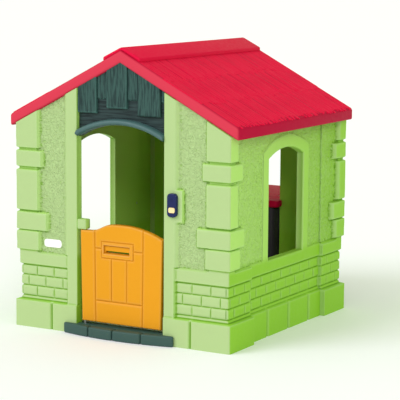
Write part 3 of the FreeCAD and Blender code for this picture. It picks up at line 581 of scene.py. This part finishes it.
def corner_wall(name, node, side, end, seed, tab=False):
    """One L-shaped corner panel, side -1 left or 1 right, end -1 front or 1 back."""
    gable_run = half_width - doorway
    turn = [0, 0.4 * CORNER_RADIUS, 0.8 * CORNER_RADIUS, CORNER_BLEND]
    joints = [GABLE_JOINT + BRICK_LENGTH * bricks_on for bricks_on in (0, 0.5, 1, 2)]
    gable = -lines(turn + joints + [BLOCK_JOINT, gable_run - POST_WIDTH] + free_edge(gable_run))[::-1]
    wing = lines(turn + [CORE_RUN] + free_edge(corner_run))
    run = np.concatenate([gable, wing[1:]])
    heights = [height for stone in QUOINS for height in stone[:2] if height < ABOVE_ROOF]
    heights += [0, BASE_HEAD - BASE_SOFT, BASE_HEAD + BASE_SOFT, BAND_FOOT, BAND_HEAD, GRID_HEAD]
    z = lines(heights + list(BRICK_LINES))
    u = np.abs(run)[:, None]
    on_side = (run > 0)[:, None]
    level = z[None, :]
    depth = corner_relief(u, on_side, level, seed, tab)
    along, inward = around_corner(u, depth)

    def placed(along, inward):
        across = np.where(on_side, inward, along)
        deep = np.where(on_side, along, inward)
        x = side * (half_width - across)
        y = front + deep if end < 0 else back - deep
        x, y, height = np.broadcast_arrays(x, y, level)
        return np.stack([x, y, np.minimum(height, roof_underside(x))], axis=-1)

    outer = placed(along, inward)
    inner = placed(np.maximum(u, WALL) + 0 * level, np.full_like(depth, WALL))
    skin = np.where(on_side, side_stucco_depth(u), STUCCO_DEPTH)
    mesh = panel_mesh(outer, inner, None, {"relief": relief_of(depth), "grit": grit_of(depth, skin, z)})
    return finished(mesh, name, green_wall, [node])


# ---------------------------------------------------------------- window panels
def arch_distance(y, z, grow=0.0):
    """Distance outside the window's arched opening, made larger by grow."""
    sides = np.abs(y - middle_y) - WINDOW_HALF - grow
    crown = np.hypot(y - middle_y, z - window_centre) - WINDOW_RADIUS - grow
    return np.maximum(np.maximum(sides, crown), WINDOW_SILL - z)


def panel_relief(y, z, seed):
    """Depth of a window panel's skin."""
    run = y - front
    depth = PANEL["stucco"] + stucco(run, z, seed)
    frame_edge = arch_distance(y, np.maximum(z, BAND_HEAD), FRAME_WIDTH)
    depth = settle(depth, PANEL["face"], ramp(frame_edge, 0.010))
    brick_face = PANEL["brick"] + 0.0004 * rough(run, z, 0.02, seed + 2)
    courses = bricks(brick_face, run, z, PANEL["brick"], WINDOW_JOINT)
    depth = settle(depth, courses, ramp(z - BAND_FOOT - 0.004, 0.003))
    band = plateau(y, z, (-BEYOND, BEYOND), (BAND_FOOT + 0.004, BAND_HEAD - 0.002), 1, 0.006)
    depth = settle(depth, PANEL["face"], band)
    base_face = PANEL["base"] + 0.0003 * rough(run, z, 0.04, seed + 9)
    depth = settle(depth, base_face, ramp(z - BASE_HEAD + BASE_SOFT, 2 * BASE_SOFT))
    for joint in WINDOW_BLOCK_JOINTS:
        groove = ramp(np.abs(run - joint), 0.012) * ramp(z - BASE_HEAD, BASE_SOFT)
        depth = settle(depth, PANEL["base"] + BLOCK_JOINT_DROP, groove)
    return depth + rolled(np.maximum(arch_distance(y, z), 0), 0.005)


def window_wall(name, node, side, seed):
    """The recessed middle of a side wall, with its arched window."""
    start, stop = front + corner_run, back - corner_run
    lap = start - window_low.y
    jambs = [middle_y - WINDOW_HALF, middle_y + WINDOW_HALF]
    frames = [jambs[0] - FRAME_WIDTH, jambs[1] + FRAME_WIDTH]
    y = lines([start - lap, start - LAP_STEP, start, *jambs, *frames, stop, stop + LAP_STEP, stop + lap])
    z = lines([0, BASE_HEAD - BASE_SOFT, BASE_HEAD + BASE_SOFT, BAND_FOOT, WINDOW_SILL, BAND_HEAD,
               WINDOW_WALL_HEAD] + list(BRICK_LINES))
    y, z = np.meshgrid(y, z, indexing="ij")
    distance = arch_distance(y, z)
    centre_y = (y[:-1, :-1] + y[1:, 1:]) / 2
    centre_z = (z[:-1, :-1] + z[1:, 1:]) / 2
    keep = arch_distance(centre_y, centre_z) > 0
    hole = ~keep
    touches = np.zeros_like(distance, bool)
    for across, up in ((0, 0), (0, 1), (1, 0), (1, 1)):
        touches[across:across + hole.shape[0], up:up + hole.shape[1]] |= hole
    nudge = 1e-5
    slope_y = (arch_distance(y + nudge, z) - arch_distance(y - nudge, z)) / (2 * nudge)
    slope_z = (arch_distance(y, z + nudge) - arch_distance(y, z - nudge)) / (2 * nudge)
    moved = touches & (np.abs(distance) < PITCH)
    y = np.where(moved, y - distance * slope_y, y)
    z = np.where(moved, z - distance * slope_z, z)
    depth = panel_relief(y, z, seed)
    skin = ramp(FRAME_WIDTH - arch_distance(y, z), 0.003)
    marks = {"relief": relief_of(depth), "grit": grit_of(depth, PANEL["stucco"], z) * skin}
    depth = np.where((y < start - 1e-4) | (y > stop + 1e-4), PANEL["lap"], depth)

    def placed(inward):
        x = side * (half_width - inward)
        return np.stack([x, y, np.minimum(z, roof_underside(x))], axis=-1)

    inner = placed(np.full_like(depth, PANEL["inner"]))
    mesh = panel_mesh(placed(depth), inner, keep, marks)
    return finished(mesh, name, green_wall, [node])


# ---------------------------------------------------------------- Geometry Nodes
def geometry_tree(name, inputs):
    """An empty tree with named inputs, given as name: (socket type, default)."""
    tree = bpy.data.node_groups.new(name, "GeometryNodeTree")
    tree.interface.new_socket("Geometry", in_out="OUTPUT", socket_type="NodeSocketGeometry")
    for label, (kind, default) in inputs.items():
        socket = tree.interface.new_socket(label, in_out="INPUT", socket_type=kind)
        if default is not None:
            socket.default_value = default
    return tree, tree.nodes.new("NodeGroupInput"), tree.nodes.new("NodeGroupOutput")


def wire(tree, node_type, sources=None, **settings):
    """Adds a node; sources maps an input's name or index to a value or a socket."""
    node = tree.nodes.new(node_type)
    for label, value in settings.items():
        setattr(node, label, value)
    for label, value in (sources or {}).items():
        if isinstance(value, bpy.types.NodeSocket):
            tree.links.new(value, node.inputs[label])
        else:
            node.inputs[label].default_value = value
    return node


def calculate(tree, operation, first, second=0.0):
    return wire(tree, "ShaderNodeMath", {0: first, 1: second}, operation=operation).outputs[0]


def closed_off(tree, shape, finish, result):
    """Ends a tree: real geometry, with its finish on it."""
    real = wire(tree, "GeometryNodeRealizeInstances", {"Geometry": shape})
    coated = wire(tree, "GeometryNodeSetMaterial", {"Geometry": real.outputs["Geometry"],
                                                    "Material": finish})
    tree.links.new(coated.outputs["Geometry"], result.inputs["Geometry"])
    return tree


def grown(tree, values):
    """The plain mesh that a tree makes from these input values."""
    holder = bpy.data.objects.new(tree.name, bpy.data.meshes.new(tree.name))
    bpy.context.scene.collection.objects.link(holder)
    modifier = holder.modifiers.new("build", "NODES")
    modifier.node_group = tree
    for item in tree.interface.items_tree:
        if item.in_out == "INPUT" and item.name in values:
            modifier[item.identifier] = values[item.name]
    graph = bpy.context.evaluated_depsgraph_get()
    mesh = bpy.data.meshes.new_from_object(holder.evaluated_get(graph))
    bpy.data.objects.remove(holder)
    return mesh


def shake_rows_tree():
    """Rows of split shakes on a flat slope: x along the ridge, y up the slope, z out of it."""
    tree, given, result = geometry_tree("shake_rows", {
        "Ridge Length": ("NodeSocketFloat", 1.0), "Rows": ("NodeSocketInt", 3),
        "Row Run": ("NodeSocketFloat", 0.17), "Shakes": ("NodeSocketInt", 90),
        "Shake Width": ("NodeSocketFloat", 0.014), "Thickness": ("NodeSocketFloat", 0.006),
        "Ragged": ("NodeSocketFloat", 0.012), "Seed": ("NodeSocketInt", 1),
        "Finish": ("NodeSocketMaterial", None)})
    sizes = given.outputs
    spaces = calculate(tree, "SUBTRACT", sizes["Rows"], 1.0)
    grid = wire(tree, "GeometryNodeMeshGrid", {
        "Size X": sizes["Ridge Length"], "Size Y": calculate(tree, "MULTIPLY", sizes["Row Run"], spaces),
        "Vertices X": sizes["Shakes"], "Vertices Y": sizes["Rows"]})

    def scatter(low, high, offset):
        seed = calculate(tree, "ADD", sizes["Seed"], float(offset))
        node = wire(tree, "FunctionNodeRandomValue", {"Seed": seed}, data_type="FLOAT_VECTOR")
        node.inputs[0].default_value = low
        node.inputs[1].default_value = high
        return node.outputs[0]

    ragged = wire(tree, "ShaderNodeVectorMath", {0: scatter((-0.3, -1, 0), (0.3, 1, 0), 1)},
                  operation="SCALE")
    tree.links.new(sizes["Ragged"], ragged.inputs["Scale"])
    spots = wire(tree, "GeometryNodeSetPosition", {"Geometry": grid.outputs["Mesh"],
                                                   "Offset": ragged.outputs[0]})
    run = calculate(tree, "MULTIPLY", sizes["Row Run"], 1.12)
    size = wire(tree, "ShaderNodeCombineXYZ", {0: sizes["Shake Width"], 1: run, 2: sizes["Thickness"]})
    shake = wire(tree, "GeometryNodeMeshCube", {"Size": size.outputs[0], "Vertices X": 3,
                                                "Vertices Y": 5, "Vertices Z": 2})
    place = wire(tree, "ShaderNodeSeparateXYZ", {0: wire(tree, "GeometryNodeInputPosition").outputs[0]})
    across = calculate(tree, "ABSOLUTE", place.outputs[0])
    droop = calculate(tree, "MULTIPLY", across, -0.20)
    lean = calculate(tree, "MULTIPLY", calculate(tree, "DIVIDE", place.outputs[1], sizes["Row Run"]),
                     calculate(tree, "MULTIPLY", sizes["Thickness"], -0.22))
    drop = wire(tree, "ShaderNodeCombineXYZ", {2: calculate(tree, "ADD", droop, lean)})
    arched = wire(tree, "GeometryNodeSetPosition", {"Geometry": shake.outputs["Mesh"],
                                                    "Offset": drop.outputs[0]})
    placed = wire(tree, "GeometryNodeInstanceOnPoints", {
        "Points": spots.outputs["Geometry"], "Instance": arched.outputs["Geometry"],
        "Rotation": scatter((-0.004, -0.10, -0.016), (0.004, 0.10, 0.016), 2),
        "Scale": scatter((0.75, 0.98, 0.7), (1.35, 1.03, 1.15), 3)})
    return closed_off(tree, placed.outputs["Instances"], sizes["Finish"], result)


def grained_plank_tree():
    """An upright plank with split-wood relief on its face: x across, z up, face towards -y."""
    tree, given, result = geometry_tree("grained_plank", {
        "Width": ("NodeSocketFloat", 0.1), "Height": ("NodeSocketFloat", 0.2),
        "Thickness": ("NodeSocketFloat", 0.02), "Columns": ("NodeSocketInt", 40),
        "Rows": ("NodeSocketInt", 60), "Grain Depth": ("NodeSocketFloat", 0.0015),
        "Grain Stretch": ("NodeSocketFloat", 12.0), "Edge": ("NodeSocketFloat", 0.004),
        "Seed": ("NodeSocketFloat", 0.0), "Finish": ("NodeSocketMaterial", None)})
    sizes = given.outputs
    size = wire(tree, "ShaderNodeCombineXYZ",
                {0: sizes["Width"], 1: sizes["Thickness"], 2: sizes["Height"]})
    plank = wire(tree, "GeometryNodeMeshCube", {"Size": size.outputs[0], "Vertices X": sizes["Columns"],
                                                "Vertices Y": 3, "Vertices Z": sizes["Rows"]})
    place = wire(tree, "ShaderNodeSeparateXYZ", {0: wire(tree, "GeometryNodeInputPosition").outputs[0]})
    flat = wire(tree, "ShaderNodeCombineXYZ", {
        0: place.outputs[0], 1: sizes["Seed"],
        2: calculate(tree, "DIVIDE", place.outputs[2], sizes["Grain Stretch"])})
    grain = wire(tree, "ShaderNodeTexNoise", {"Vector": flat.outputs[0], "Scale": 130.0, "Detail": 2.0})
    height = calculate(tree, "SUBTRACT", grain.outputs["Fac"], 0.5)
    relief = calculate(tree, "MULTIPLY", height, calculate(tree, "MULTIPLY", sizes["Grain Depth"], -2.0))

    def roll(coordinate, whole):
        half = calculate(tree, "MULTIPLY", whole, 0.5)
        gap = calculate(tree, "SUBTRACT", half, calculate(tree, "ABSOLUTE", coordinate))
        reach = calculate(tree, "SUBTRACT", 1.0, calculate(tree, "DIVIDE", gap, sizes["Edge"]))
        reach = calculate(tree, "MAXIMUM", reach, 0.0)
        return calculate(tree, "MULTIPLY", calculate(tree, "MULTIPLY", reach, reach), sizes["Edge"])

    rolls = calculate(tree, "ADD", roll(place.outputs[0], sizes["Width"]),
                      roll(place.outputs[2], sizes["Height"]))
    shift = wire(tree, "ShaderNodeCombineXYZ", {1: calculate(tree, "ADD", relief, rolls)})
    on_face = calculate(tree, "LESS_THAN", place.outputs[1], 0.0)
    carved = wire(tree, "GeometryNodeSetPosition", {"Geometry": plank.outputs["Mesh"],
                                                    "Selection": on_face, "Offset": shift.outputs[0]})
    return closed_off(tree, carved.outputs["Geometry"], sizes["Finish"], result)


# ---------------------------------------------------------------- roof
def roof_half(name, node, side):
    """The slab under one slope, sharp along the ridge, where it meets the other half."""
    eave = roof_low.z + roof_thickness
    profile = [(0, roof_top - roof_thickness), (roof_edge, roof_low.z), (roof_edge, eave), (0, roof_top)]
    outline = [(side * x, z) for x, z in profile]
    slab = solid(outline, roof_front, roof_back, "y", bevel=0.011, segments=4, seam=True)
    return finished(slab, name, roof_red, [node])


def shakes(name, side, tree):
    """The courses of shakes on one slope, from under the ridge cap to the eave."""
    rows, row_run, margin, eave_gap, sunk = 3, 0.176, 0.015, 0.020, 0.0006
    length = roof_back - roof_front - margin * 2
    mesh = grown(tree, {"Ridge Length": length, "Rows": rows, "Row Run": row_run, "Shakes": 150,
                        "Shake Width": 0.0090, "Thickness": 0.0040, "Ragged": 0.014,
                        "Seed": 11 if side < 0 else 29, "Finish": shake_red.material})
    middle = roof_edge - (rows * row_run / 2 + eave_gap) * math.cos(roof_tilt)
    up_slope = Vector((-side * math.cos(roof_tilt), 0, math.sin(roof_tilt)))
    along = Vector((0, side, 0))
    out = along.cross(up_slope)
    turn = Matrix((along, up_slope, out)).transposed().to_4x4()
    spot = Vector((side * middle, (roof_front + roof_back) / 2, roof_top - roof_slope * middle))
    mesh.transform(Matrix.Translation(spot - out * sunk) @ turn)
    return finished(mesh, name, shake_red, sharp=30)


def ridge_cap():
    """The cover over the ridge, with a low rounded crown."""
    foot = roof_top - roof_slope * cap_high.x
    edge, inset, crown_half = 0.016, 0.012, 0.014
    shoulder = cap_high.z - 0.006
    outline = [(cap_low.x, foot), (0, roof_top), (cap_high.x, foot), (cap_high.x, foot + edge),
               (crown_half, shoulder), (0, cap_high.z), (-crown_half, shoulder),
               (cap_low.x, foot + edge)]
    cap = solid(outline, roof_front + inset, roof_back - inset, "y", 0.005)
    return finished(cap, "ridge_cap_cover", cap_red, ["ridge_cap"])


# ---------------------------------------------------------------- headers
HEADER_INNER = 0.056


def header_sheet(name, node, end, finish):
    """The arched sheet between two posts, with its lap behind them."""
    lap, lap_rise, face = header_high.x, 0.030, 0.026
    x = lines([-lap, -doorway - LAP_STEP, -doorway, 0, doorway, doorway + LAP_STEP, lap], 0.006)
    foot = arch_centre + np.sqrt(ARCH_RADIUS ** 2 - np.minimum(np.abs(x), doorway) ** 2)
    foot = np.where(np.abs(x) > doorway, foot + lap_rise, foot)
    share = lines([0, 1], 0.02)
    level = foot[:, None] + (roof_underside(x) - foot)[:, None] * share[None, :]
    across = np.broadcast_to(x[:, None], level.shape)
    depth = np.where(np.abs(across) > doorway, WALL + 0.0003, face)

    def placed(inward):
        y = front + inward if end < 0 else back - inward
        return np.stack([across, np.broadcast_to(y, level.shape), level], axis=-1)

    mesh = panel_mesh(placed(depth), placed(np.full_like(depth, HEADER_INNER)))
    return finished(mesh, name, finish, [node])


def arch_bead(name, end, finish):
    """The half-round bead that follows the top of the doorway."""
    middle_radius = ARCH_RADIUS + BEAD_HEIGHT / 2
    reach = math.asin(doorway / middle_radius)
    steps, around = 72, 14
    proud, seat = -0.008, 0.010
    points = []
    for step in range(steps + 1):
        angle = -reach + 2 * reach * step / steps
        for turn in range(around + 1):
            sweep = math.pi * turn / around
            radius = middle_radius - BEAD_HEIGHT / 2 * math.cos(sweep)
            points.append((radius, angle, seat - (seat - proud) * math.sin(sweep)))
        points.append((middle_radius + BEAD_HEIGHT / 2, angle, HEADER_INNER))
        points.append((middle_radius - BEAD_HEIGHT / 2, angle, HEADER_INNER))
    ring = around + 3
    spots = [(radius * math.sin(angle), front + depth if end < 0 else back - depth,
              arch_centre + radius * math.cos(angle)) for radius, angle, depth in points]
    spots = [(max(-doorway, min(doorway, x)), y, z) for x, y, z in spots]
    faces = [[step * ring + spot, step * ring + (spot + 1) % ring,
              (step + 1) * ring + (spot + 1) % ring, (step + 1) * ring + spot]
             for step in range(steps) for spot in range(ring)]
    faces += [list(range(ring)), [steps * ring + spot for spot in range(ring)][::-1]]
    return finished(mesh_of(spots, faces), name, finish)


# from, to and foot of the planks, and of the boards that show between them
PLANKS = ((-doorway + 0.001, -0.117, 0.921), (-0.068, 0.029, 0.945), (0.081, 0.187, 0.920))
BOARDS = ((-0.116, -0.069, 0.980), (0.030, 0.080, 0.980), (0.188, doorway - 0.001, 0.977))
PLANK_DEPTH, BOARD_DEPTH, PLANK_BACK = 0.011, 0.019, 0.027


def header_boards(tree):
    """Three upright planks and the boards between them, trimmed to the slope of the roof."""
    spare, tuck = 0.020, 0.004
    top = roof_underside(0) + spare

    def plank(low, high, foot, depth, seed):
        width, height = high - low, top - foot
        mesh = grown(tree, {"Width": width, "Height": height, "Thickness": PLANK_BACK - depth,
                            "Columns": round(width / 0.0032), "Rows": round(height / 0.0045),
                            "Grain Depth": 0.0022, "Seed": seed, "Finish": header_teal.material})
        mesh.transform(Matrix.Translation(((low + high) / 2, front + (PLANK_BACK + depth) / 2,
                                           foot + height / 2)))
        for vertex in mesh.vertices:
            vertex.co.z = min(vertex.co.z, roof_underside(vertex.co.x) + tuck)
        return mesh

    for name, spans, depth, first in (("header_planks", PLANKS, PLANK_DEPTH, 1.0),
                                      ("header_back_boards", BOARDS, BOARD_DEPTH, 4.0)):
        meshes = [plank(*span, depth, first + number) for number, span in enumerate(spans)]
        finished(joined(meshes), name, header_teal)


# ---------------------------------------------------------------- half door
DOOR_DRAFT = 0.007
DOOR_SHOULDER, DOOR_DIP, DIP_END = 0.426, 0.437, -0.155
DOOR_FRAME, DOOR_RAILS, DOOR_JOINTS = (-0.125, 0.109), (0.148, 0.366), (-0.044, 0.031)
BEZEL, TRENCH = ((-0.088, 0.060), (0.332, 0.393)), ((-0.092, 0.064), (0.328, 0.397))
POCKET, SLIT = ((-0.079, 0.044), (0.349, 0.380)), ((-0.075, 0.040), (0.350, 0.359))


def door_top(x):
    """The door's top edge: a low crown that dips beside the hinge block."""
    middle, half = (door_low.x + door_high.x) / 2, (door_high.x - door_low.x) / 2
    rise = door_high.z - DOOR_SHOULDER
    radius = (half ** 2 + rise ** 2) / (2 * rise)
    crown = door_high.z - radius + np.sqrt(radius ** 2 - (x - middle) ** 2)
    return settle(crown, DOOR_DIP, ramp(x - DIP_END, 0.100))


def door_relief(x, z, plain):
    """Depth of the door's skin behind its face; the plain side has no mail slot's bezel."""
    depth = 0.0003 * rough(x, z, 0.05, 60)
    for groove in DOOR_FRAME:
        depth = settle(depth, 0.0045, ramp(np.abs(x - groove), 0.0055))
    between = ramp(np.maximum(DOOR_FRAME[0] - x, x - DOOR_FRAME[1]), 0.004)
    for rail in DOOR_RAILS:
        depth = settle(depth, 0.0045, ramp(np.abs(z - rail), 0.0055) * between)
    joint_head = DOOR_RAILS[1] if plain else TRENCH[1][0]
    for groove in DOOR_JOINTS:
        span = ramp(np.maximum(DOOR_RAILS[0] - z, z - joint_head), 0.004)
        depth = settle(depth, 0.0040, ramp(np.abs(x - groove), 0.0050) * span)
    if not plain:
        for (u_span, v_span), level in ((TRENCH, 0.003), (BEZEL, -0.0015), (POCKET, 0.007)):
            depth = settle(depth, level, plateau(x, z, u_span, v_span, 0.003, 0.003))
    edge = np.minimum(np.minimum(x - door_low.x, door_high.x - x),
                      np.minimum(z - door_low.z, door_top(x) - z))
    return depth + rolled(np.maximum(edge, 0), 0.006)


def door_leaf():
    """The half door, with grooves on both sides and the mail slot cut through it."""
    margins = (0, 0.002, 0.006)
    x = lines([door_low.x + margin for margin in margins] + [door_high.x - margin for margin in margins]
              + [DIP_END - 0.01, DIP_END, *DOOR_FRAME, *DOOR_JOINTS]
              + [*TRENCH[0], *BEZEL[0], *POCKET[0], *SLIT[0]], 0.0036)
    z = lines([door_low.z + margin for margin in margins] + [door_high.z, *DOOR_RAILS]
              + [*TRENCH[1], *BEZEL[1], *POCKET[1], *SLIT[1]], 0.0036)
    x, z = np.meshgrid(x, z, indexing="ij")
    cell_x, cell_z = (x[:-1, :-1] + x[1:, 1:]) / 2, (z[:-1, :-1] + z[1:, 1:]) / 2
    keep = ~((cell_x > SLIT[0][0]) & (cell_x < SLIT[0][1]) & (cell_z > SLIT[1][0]) & (cell_z < SLIT[1][1]))
    z = np.minimum(z, door_top(x))
    squeeze = DOOR_DRAFT * np.clip((DOOR_SHOULDER - z) / (DOOR_SHOULDER - door_low.z), 0, 1)
    middle, half = (door_low.x + door_high.x) / 2, (door_high.x - door_low.x) / 2
    tapered = middle + (x - middle) * (1 - squeeze / half)
    face, rear = door_relief(x, z, False), door_relief(x, z, True)
    outer = np.stack([tapered, door_low.y + face, z], axis=-1)
    inner = np.stack([tapered, door_high.y - rear, z], axis=-1)
    mesh = panel_mesh(outer, inner, keep, {"relief": relief_of(face)}, {"relief": relief_of(rear)})
    return finished(mesh, "door_leaf", door_amber, ["half_door"], body="door")


# ---------------------------------------------------------------- step, table and small pieces
def step_blocks():
    """Four rounded stones with a bowed front, and the sill behind them."""
    half, end_depth, gap = step_high.x, 0.014, 0.0015
    rise = front - step_low.y - end_depth
    radius = (half ** 2 + rise ** 2) / (2 * rise)

    def bow(x):
        return step_low.y + radius - math.sqrt(radius ** 2 - x ** 2)

    meshes = []
    joints = (-half, -0.129, -0.007, 0.126, half)
    for low, high in zip(joints, joints[1:]):
        low, high = low + gap, high - gap
        row = [low + (high - low) * step / 8 for step in range(9)]
        outline = [(x, bow(x)) for x in row] + [(high, front - 0.0005), (low, front - 0.0005)]
        meshes.append(solid(outline, 0.0, step_high.z, "z", 0.008, 4))
    sill_half, lap_half = doorway - 0.001, header_high.x
    sill = block((-sill_half, front - 0.001, 0), (sill_half, step_high.y, step_high.z - 0.001), 0.003)
    lap = block((-lap_half, front + WALL + LAP_STEP, 0),
                (lap_half, step_high.y, step_high.z - 0.002), 0.003)
    return finished(joined(meshes + [sill, lap]), "step_stones", step_teal, ["door_step"])


def table():
    """The slab that passes through the back wall, and its pedestal."""
    inner_wall = back - WALL
    outside = rounded_outline((table_low.x, back + 0.001), (table_high.x, table_high.y), 0.045)
    inside = rounded_outline((table_low.x, table_low.y), (table_high.x, inner_wall - 0.001), 0.020)
    slabs = [solid(outline, table_low.z, table_high.z, "z", 0.009, 4) for outline in (outside, inside)]
    slabs.append(block((-doorway + 0.005, inner_wall - 0.012, table_low.z + 0.001),
                       (doorway - 0.005, back + 0.012, table_high.z - 0.001), 0.002))
    finished(joined(slabs), "table_slab", table_red, ["table_top"])
    half, collar_head = 0.203, 0.320
    legs = [solid(rounded_outline((-half, pedestal_low.y), (half, pedestal_high.y), 0.030),
                  0, pedestal_high.z, "z", 0.004),
            block((pedestal_low.x, back + 0.0005, 0), (pedestal_high.x, back + 0.014, collar_head), 0.003)]
    finished(joined(legs), "pedestal", charcoal_base, ["table_pedestal"])


def small_pieces():
    """The hinge block, the plain badge and the finishes of the parts that stay as they are."""
    knuckle = block(block_low, block_high, 0.006, 4)
    finished(knuckle, "hinge_knuckle", green_wall, ["hinge_block"])
    plate = solid(rounded_outline((badge_low.x, badge_low.z), (badge_high.x, badge_high.z), 0.014),
                  badge_low.y, badge_high.y, "y", 0.001)
    finished(plate, "badge_plate", badge_white, ["blank_badge"])
    finishes = {"bell_case": bell_navy, "bell_button": button_cream, "button_spring": spring_wire,
                "bell_circuit_board": board_green, "bell_speaker": speaker_black,
                "battery_tray": tray_black, "batteries": battery_sleeve,
                "upper_hinge_pin": steel, "lower_hinge_pin": steel}
    for node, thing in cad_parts.items():
        finish = finishes.get(node, steel)
        if not thing.hide_render:
            thing.data.materials.clear()
            thing.data.materials.append(finish.material)


# ---------------------------------------------------------------- build
corner_wall("wall_front_left", "front_left_corner_panel", -1, -1, 100)
corner_wall("wall_front_right", "front_right_corner_panel", 1, -1, 200, tab=True)
corner_wall("wall_back_left", "back_left_corner_panel", -1, 1, 300)
corner_wall("wall_back_right", "back_right_corner_panel", 1, 1, 400)
window_wall("window_wall_left", "left_window_panel", -1, 500)
window_wall("window_wall_right", "right_window_panel", 1, 600)
shake_tree = shake_rows_tree()
for side, word in ((-1, "left"), (1, "right")):
    roof_half("roof_slab_" + word, word + "_roof_panel", side)
    shakes("roof_shakes_" + word, side, shake_tree)
ridge_cap()
header_sheet("header_front_sheet", "front_header_panel", -1, board_teal)
header_sheet("header_back_sheet", "back_header_panel", 1, green_wall)
arch_bead("arch_bead_front", -1, arch_teal)
arch_bead("arch_bead_back", 1, green_wall)
header_boards(grained_plank_tree())
door_leaf()
step_blocks()
table()
small_pieces()


# ---------------------------------------------------------------- studio
CAMERA_PLACE = Vector((3.672, middle_y - 6.201, 1.567))
CAMERA_AZIMUTH, CAMERA_ELEVATION, CAMERA_ROLL, CAMERA_LENS = 30.12, 8.33, 0.39, 151.68


def direction(azimuth, elevation):
    """Towards a place at an angle round the house from -Y and an angle above the ground."""
    azimuth, elevation = math.radians(azimuth), math.radians(elevation)
    return Vector((math.sin(azimuth) * math.cos(elevation),
                   -math.cos(azimuth) * math.cos(elevation), math.sin(elevation)))


def softbox(name, strength, width, azimuth, elevation):
    """Soft light from far off; width is the angle that it fills."""
    lamp = bpy.data.lights.new(name, "SUN")
    lamp.energy = strength
    lamp.color = (1.0, 0.90, 1.12)
    lamp.angle = math.radians(width)
    light = bpy.data.objects.new(name, lamp)
    light.rotation_euler = direction(azimuth, elevation).to_track_quat("Z", "Y").to_euler()
    bpy.context.scene.collection.objects.link(light)


def studio():
    """A pale floor, a soft light from the front left, a weaker one from the right, and the camera."""
    floor_finish = Finish("pale_floor", Specular_IOR_Level=0.1)
    floor_finish.colour(floor_finish.mix(floor_finish.noise(2), paint(250, 250, 255), paint(252, 252, 255)))
    floor_finish.roughen(floor_finish.noise(30), 0.8, 0.9)
    size = 300
    floor_mesh = mesh_of([(-size, -size, 0), (size, -size, 0), (size, size, 0), (-size, size, 0)],
                         [[0, 1, 2, 3]])
    floor_mesh.materials.append(floor_finish.material)
    floor = bpy.data.objects.new("floor", floor_mesh)
    bpy.context.scene.collection.objects.link(floor)

    sky = bpy.data.worlds.new("studio")
    sky.use_nodes = True
    sky.node_tree.nodes["Background"].inputs["Color"].default_value = (0.90, 1.0, 0.76, 1)
    sky.node_tree.nodes["Background"].inputs["Strength"].default_value = 0.80
    bpy.context.scene.world = sky

    softbox("key_light", 1.25, 34, -32, 38)
    softbox("fill_light", 0.72, 12, 35, 24)

    azimuth, roll = math.radians(CAMERA_AZIMUTH), math.radians(CAMERA_ROLL)
    backward = direction(CAMERA_AZIMUTH, CAMERA_ELEVATION)
    level = Vector((math.cos(azimuth), math.sin(azimuth), 0))
    upright = backward.cross(level)
    right = level * math.cos(roll) + upright * math.sin(roll)
    up = upright * math.cos(roll) - level * math.sin(roll)
    camera = bpy.data.objects.new("camera", bpy.data.cameras.new("camera"))
    camera.data.lens = CAMERA_LENS
    camera.data.clip_end = 1000
    turn = Matrix((right, up, backward)).transposed().to_4x4()
    camera.matrix_world = Matrix.Translation(CAMERA_PLACE) @ turn
    bpy.context.scene.collection.objects.link(camera)
    bpy.context.scene.camera = camera
    bpy.context.scene.view_settings.view_transform = "Standard"


studio()
